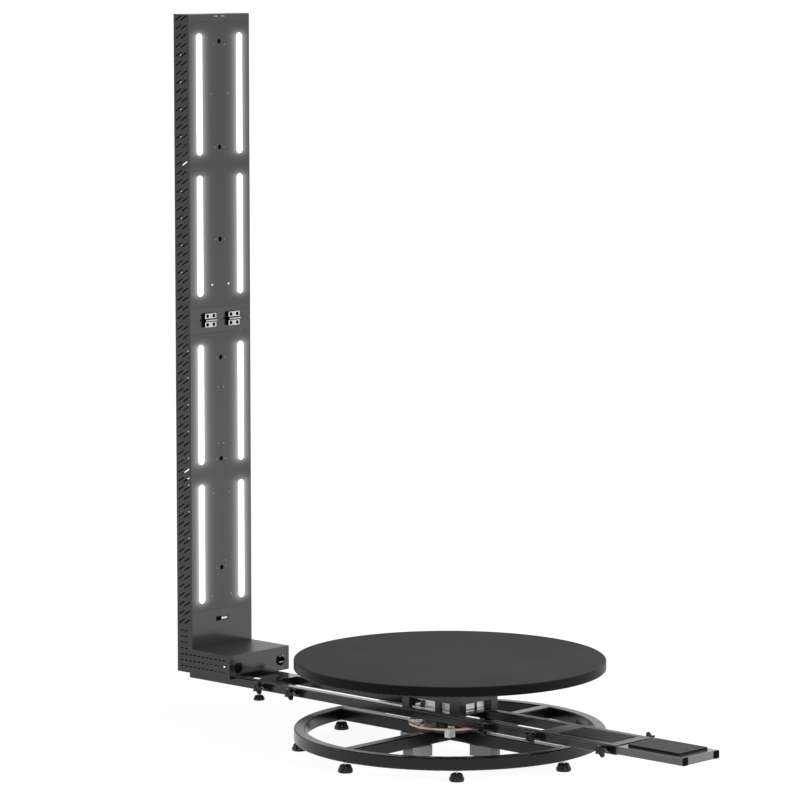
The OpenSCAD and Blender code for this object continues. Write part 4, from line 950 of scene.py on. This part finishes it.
# the plain block comes before the bevelled ones, so that its faces are listed alike in every run
stampPort(bm, back, liner["front"], liner["y"], liner["half"], 1)
stampPort(bm, back, tab["front"], tab["y"], tab["half"], 0, tab["bevel"])
for y in pin["y"]:
    ySpan = (y - pin["wide"], y + pin["wide"])
    stampPort(bm, liner["front"] - pin["rise"], liner["front"] + pin["rise"], ySpan, pin["half"], 1,
              pin["bevel"])
makePiece("port_insert", bm, "mast_section", ["whiteNylon", "deepBlack"])
print("port and light row placed")

# foot box: socket contacts, button ring, indicator behind the side plate's dashes

socketLow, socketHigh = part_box("power_socket")
socketMid = (socketLow + socketHigh) / 2
contactSet = {"screws": ((-5, 15), (8.5, 13.6)), "screwRadius": 2.2 * mm, "screwRise": 1.0 * mm,
              "bar": (-6, 11, -8, -4), "floor": 9.8 * mm, "sink": 0.2 * mm, "rise": 10.2 * mm,
              "bevel": 0.5 * mm}
bm = bmesh.new()
for y, z in contactSet["screws"]:
    place = (socketHigh.x, socketMid.y + y * mm, socketMid.z + z * mm)
    stampRivet(bm, place, forward, contactSet["screwRadius"], contactSet["screwRise"], 1)
barY0, barY1, barZ0, barZ1 = contactSet["bar"]
barFloor = socketHigh.x - contactSet["floor"]
low = (barFloor - contactSet["sink"], socketMid.y + barY0 * mm, socketMid.z + barZ0 * mm)
high = (barFloor + contactSet["rise"], socketMid.y + barY1 * mm, socketMid.z + barZ1 * mm)
stampBlock(bm, low, high, 0, contactSet["bevel"])
makePiece("socket_contacts", bm, "mast_section", ["whiteNylon", "plainAluminium"])

buttonLow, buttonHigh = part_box("power_button")
buttonMid = (buttonLow + buttonHigh) / 2
buttonSet = {
    "face": ((10.4, -0.4), (10.4, 0.2), (9.8, 0.7), (8.2, 0.6), (7.6, 0.15), (3, 0.1)),
    "ring": ((12.3, -0.4), (12.3, 0.5), (11.9, 0.9), (11.2, 0.9), (10.9, 0.5), (10.8, -0.3)),
}
bm = bmesh.new()
place = at((buttonHigh.x, buttonMid.y, buttonMid.z), forward)
for index, (part, hoop) in enumerate((("face", False), ("ring", True))):
    rings = [(radius * mm, height * mm) for radius, height in buttonSet[part]]
    stampRings(bm, rings, 48, place, index, hoop)
makePiece("button_face", bm, "power_button", ["deepBlack", "mouldedBlack"], sharpAngle=50)

collarSet = {"inner": 13.4 * mm, "outer": 17.3 * mm, "face": -861 * mm, "rise": 0.8 * mm, "lip": 0.8 * mm,
             "sink": 0.2 * mm}
inner, outer, rise, lip = (collarSet[k] for k in ("inner", "outer", "rise", "lip"))
middle = (inner + outer) / 2
rings = [(outer, -collarSet["sink"]), (outer, rise * 0.3), (outer - lip, rise * 0.8), (middle, rise),
         (inner + lip, rise * 0.8), (inner, rise * 0.3), (inner, -collarSet["sink"])]
bm = bmesh.new()
place = at((collarSet["face"], buttonMid.y, buttonMid.z), forward)
stampRings(bm, rings, 64, place, hoop=True)
makePiece("button_collar", bm, "mast_section", ["deepBlack"], sharpAngle=60)

indicatorSet = {"x": -891, "z": 175, "radius": 5 * mm, "length": 9 * mm, "sheet": 2 * mm}
r, length = indicatorSet["radius"], indicatorSet["length"]
rings = [(r * 1.3, 0), (r * 1.3, 1.4 * mm), (r, 1.6 * mm), (r, length - 1.2 * mm),
         (r * 0.8, length - 0.2 * mm), (r * 0.5, length)]
foot = -cheekOuter + indicatorSet["sheet"] + length
bm = bmesh.new()
stampRings(bm, rings, 24, at((indicatorSet["x"] * mm, foot, indicatorSet["z"] * mm), (0, -1, 0)))
makePiece("indicator_lamp", bm, "mast_section", ["indicatorGlow"], sharpAngle=60)
print("foot box fittings placed")

# hub: inner posts of the cage, bolts on the fixed flange

postSet = {"low": 137.6, "high": 172.4, "bevel": 1.2 * mm,
           "posts": ((-62, -72, -51, -62), (-62, 62, -51, 72), (90, 13, 98, 22))}
bm = bmesh.new()
for x0, y0, x1, y1 in postSet["posts"]:
    low = (x0 * mm, y0 * mm, postSet["low"] * mm)
    high = (x1 * mm, y1 * mm, postSet["high"] * mm)
    stampBlock(bm, low, high, 0, postSet["bevel"])
makePiece("hub_inner_posts", bm, "arm", ["railBlack"])

boltSet = {"count": 8, "ring": 95 * mm, "z": 83 * mm, "head": 6.5 * mm, "rise": 5.3 * mm, "washer": 8.5 * mm}
washer, rise = boltSet["washer"], boltSet["rise"]
hexR = boltSet["head"] * 1.1
washerRings = [(washer, -0.3 * mm), (washer, 1.3 * mm), (washer * 0.9, 1.6 * mm)]
headRings = [(hexR, 1.2 * mm, "hex"), (hexR, rise - 0.8 * mm, "hex"), (hexR * 0.86, rise)]
bm = bmesh.new()
for k in range(boltSet["count"]):
    turn = math.radians(360 * (k + 0.5) / boltSet["count"])
    place = at((boltSet["ring"] * math.cos(turn), boltSet["ring"] * math.sin(turn), boltSet["z"]))
    stampRings(bm, washerRings, 28, place)
    stampRings(bm, headRings, 24, place)
makePiece("flange_bolts", bm, "base", ["brightZinc"])
print("hub details placed")

# floor, world and lamps

stageSet = {
    "floorHalf": 60.0,
    "floorDrop": 0.5 * mm,
    "floorTone": (0.34, 0.34, 0.34, 1),
    "floorGlow": 0.92,
    "farGlow": 1.0,
    "fadeFrom": 1.6,
    "fadeTo": 4.5,
    "horizonFill": 0.75,
    "zenithFill": 0.08,
    "fillSpan": (0.1, 0.6),
}
plainWhite = (1, 1, 1, 1)


def seenRay(tree):
    # 1 for what the camera sees, also in a mirror or through glass
    ray = addNode(tree, "ShaderNodeLightPath").outputs
    mirrored = mathNode(tree, "MAXIMUM", ray["Is Glossy Ray"], ray["Is Transmission Ray"])
    return mathNode(tree, "MAXIMUM", ray["Is Camera Ray"], mirrored)


floorMesh = bpy.data.meshes.new("floor")
floorHalf = stageSet["floorHalf"]
corners = [(x * floorHalf, y * floorHalf, 0) for x, y in ((-1, -1), (1, -1), (1, 1), (-1, 1))]
floorMesh.from_pydata(corners, [], [(0, 1, 2, 3)])
floor = bpy.data.objects.new("floor", floorMesh)
floor.location.z = -stageSet["floorDrop"]
scene.collection.objects.link(floor)
floorMaterial = bpy.data.materials.new("paleFloor")
floorMaterial.use_nodes = True
tree = floorMaterial.node_tree
tree.nodes.clear()
seen = seenRay(tree)
diffuse = addNode(tree, "ShaderNodeBsdfDiffuse")
diffuse.inputs["Color"].default_value = stageSet["floorTone"]
# the floor turns plain white away from the object
away = addNode(tree, "ShaderNodeVectorMath", operation="LENGTH")
feed(tree, away, i0=addNode(tree, "ShaderNodeNewGeometry").outputs["Position"])
level = remap(tree, away.outputs["Value"], stageSet["fadeFrom"], stageSet["fadeTo"], stageSet["floorGlow"],
              stageSet["farGlow"], smooth=True)
glow = addNode(tree, "ShaderNodeEmission")
feed(tree, glow, Color=plainWhite, Strength=times(tree, seen, level))
both = addNode(tree, "ShaderNodeAddShader")
tree.links.new(diffuse.outputs[0], both.inputs[0])
tree.links.new(glow.outputs[0], both.inputs[1])
out = addNode(tree, "ShaderNodeOutputMaterial")
tree.links.new(both.outputs[0], out.inputs["Surface"])
floorMesh.materials.append(floorMaterial)

world = bpy.data.worlds.new("studio")
scene.world = world
world.use_nodes = True
tree = world.node_tree
tree.nodes.clear()
seen = seenRay(tree)
# the studio's walls are bright, its ceiling is dark, and the camera sees white
skyHeight = splitVector(tree, addNode(tree, "ShaderNodeTexCoord").outputs["Generated"])["Z"]
fill = remap(tree, skyHeight, *stageSet["fillSpan"], stageSet["horizonFill"], stageSet["zenithFill"],
             smooth=True)
lack = mathNode(tree, "SUBTRACT", 1.0, fill)
back = addNode(tree, "ShaderNodeBackground")
feed(tree, back, Color=plainWhite, Strength=mathNode(tree, "ADD", fill, times(tree, seen, lack)))
out = addNode(tree, "ShaderNodeOutputWorld")
tree.links.new(back.outputs[0], out.inputs["Surface"])

lampSet = {
    "rightKey": {"place": (6.5, 1.0, 2.2), "aim": (-1.0, 0.0, 0.9), "size": (3.0, 2.6), "power": 310,
                 "mirrored": False},
    "rightStrip": {"place": (2.95, 1.75, 0.6), "aim": (0.2, 0.0, 0.15), "size": (2.0, 1.1), "power": 20,
                   "mirrored": True},
    "leftStrip": {"place": (-1.9, -3.3, 0.6), "aim": (-0.2, 0.0, 0.15), "size": (2.4, 1.1), "power": 17,
                  "mirrored": True},
    "lowFill": {"place": (1.0, -5.0, 0.5), "aim": (0.0, 0.0, 0.12), "size": (3.0, 1.5), "power": 65,
                "mirrored": False},
}
for name, lamp in lampSet.items():
    data = bpy.data.lights.new(name, "AREA")
    data.shape = "RECTANGLE"
    data.energy = lamp["power"]
    data.size, data.size_y = lamp["size"]
    light = bpy.data.objects.new(name, data)
    light.location = lamp["place"]
    light.rotation_euler = (Vector(lamp["aim"]) - Vector(lamp["place"])).to_track_quat("-Z", "Y").to_euler()
    light.visible_camera = False
    light.visible_glossy = lamp["mirrored"]
    scene.collection.objects.link(light)
print("stage lit")
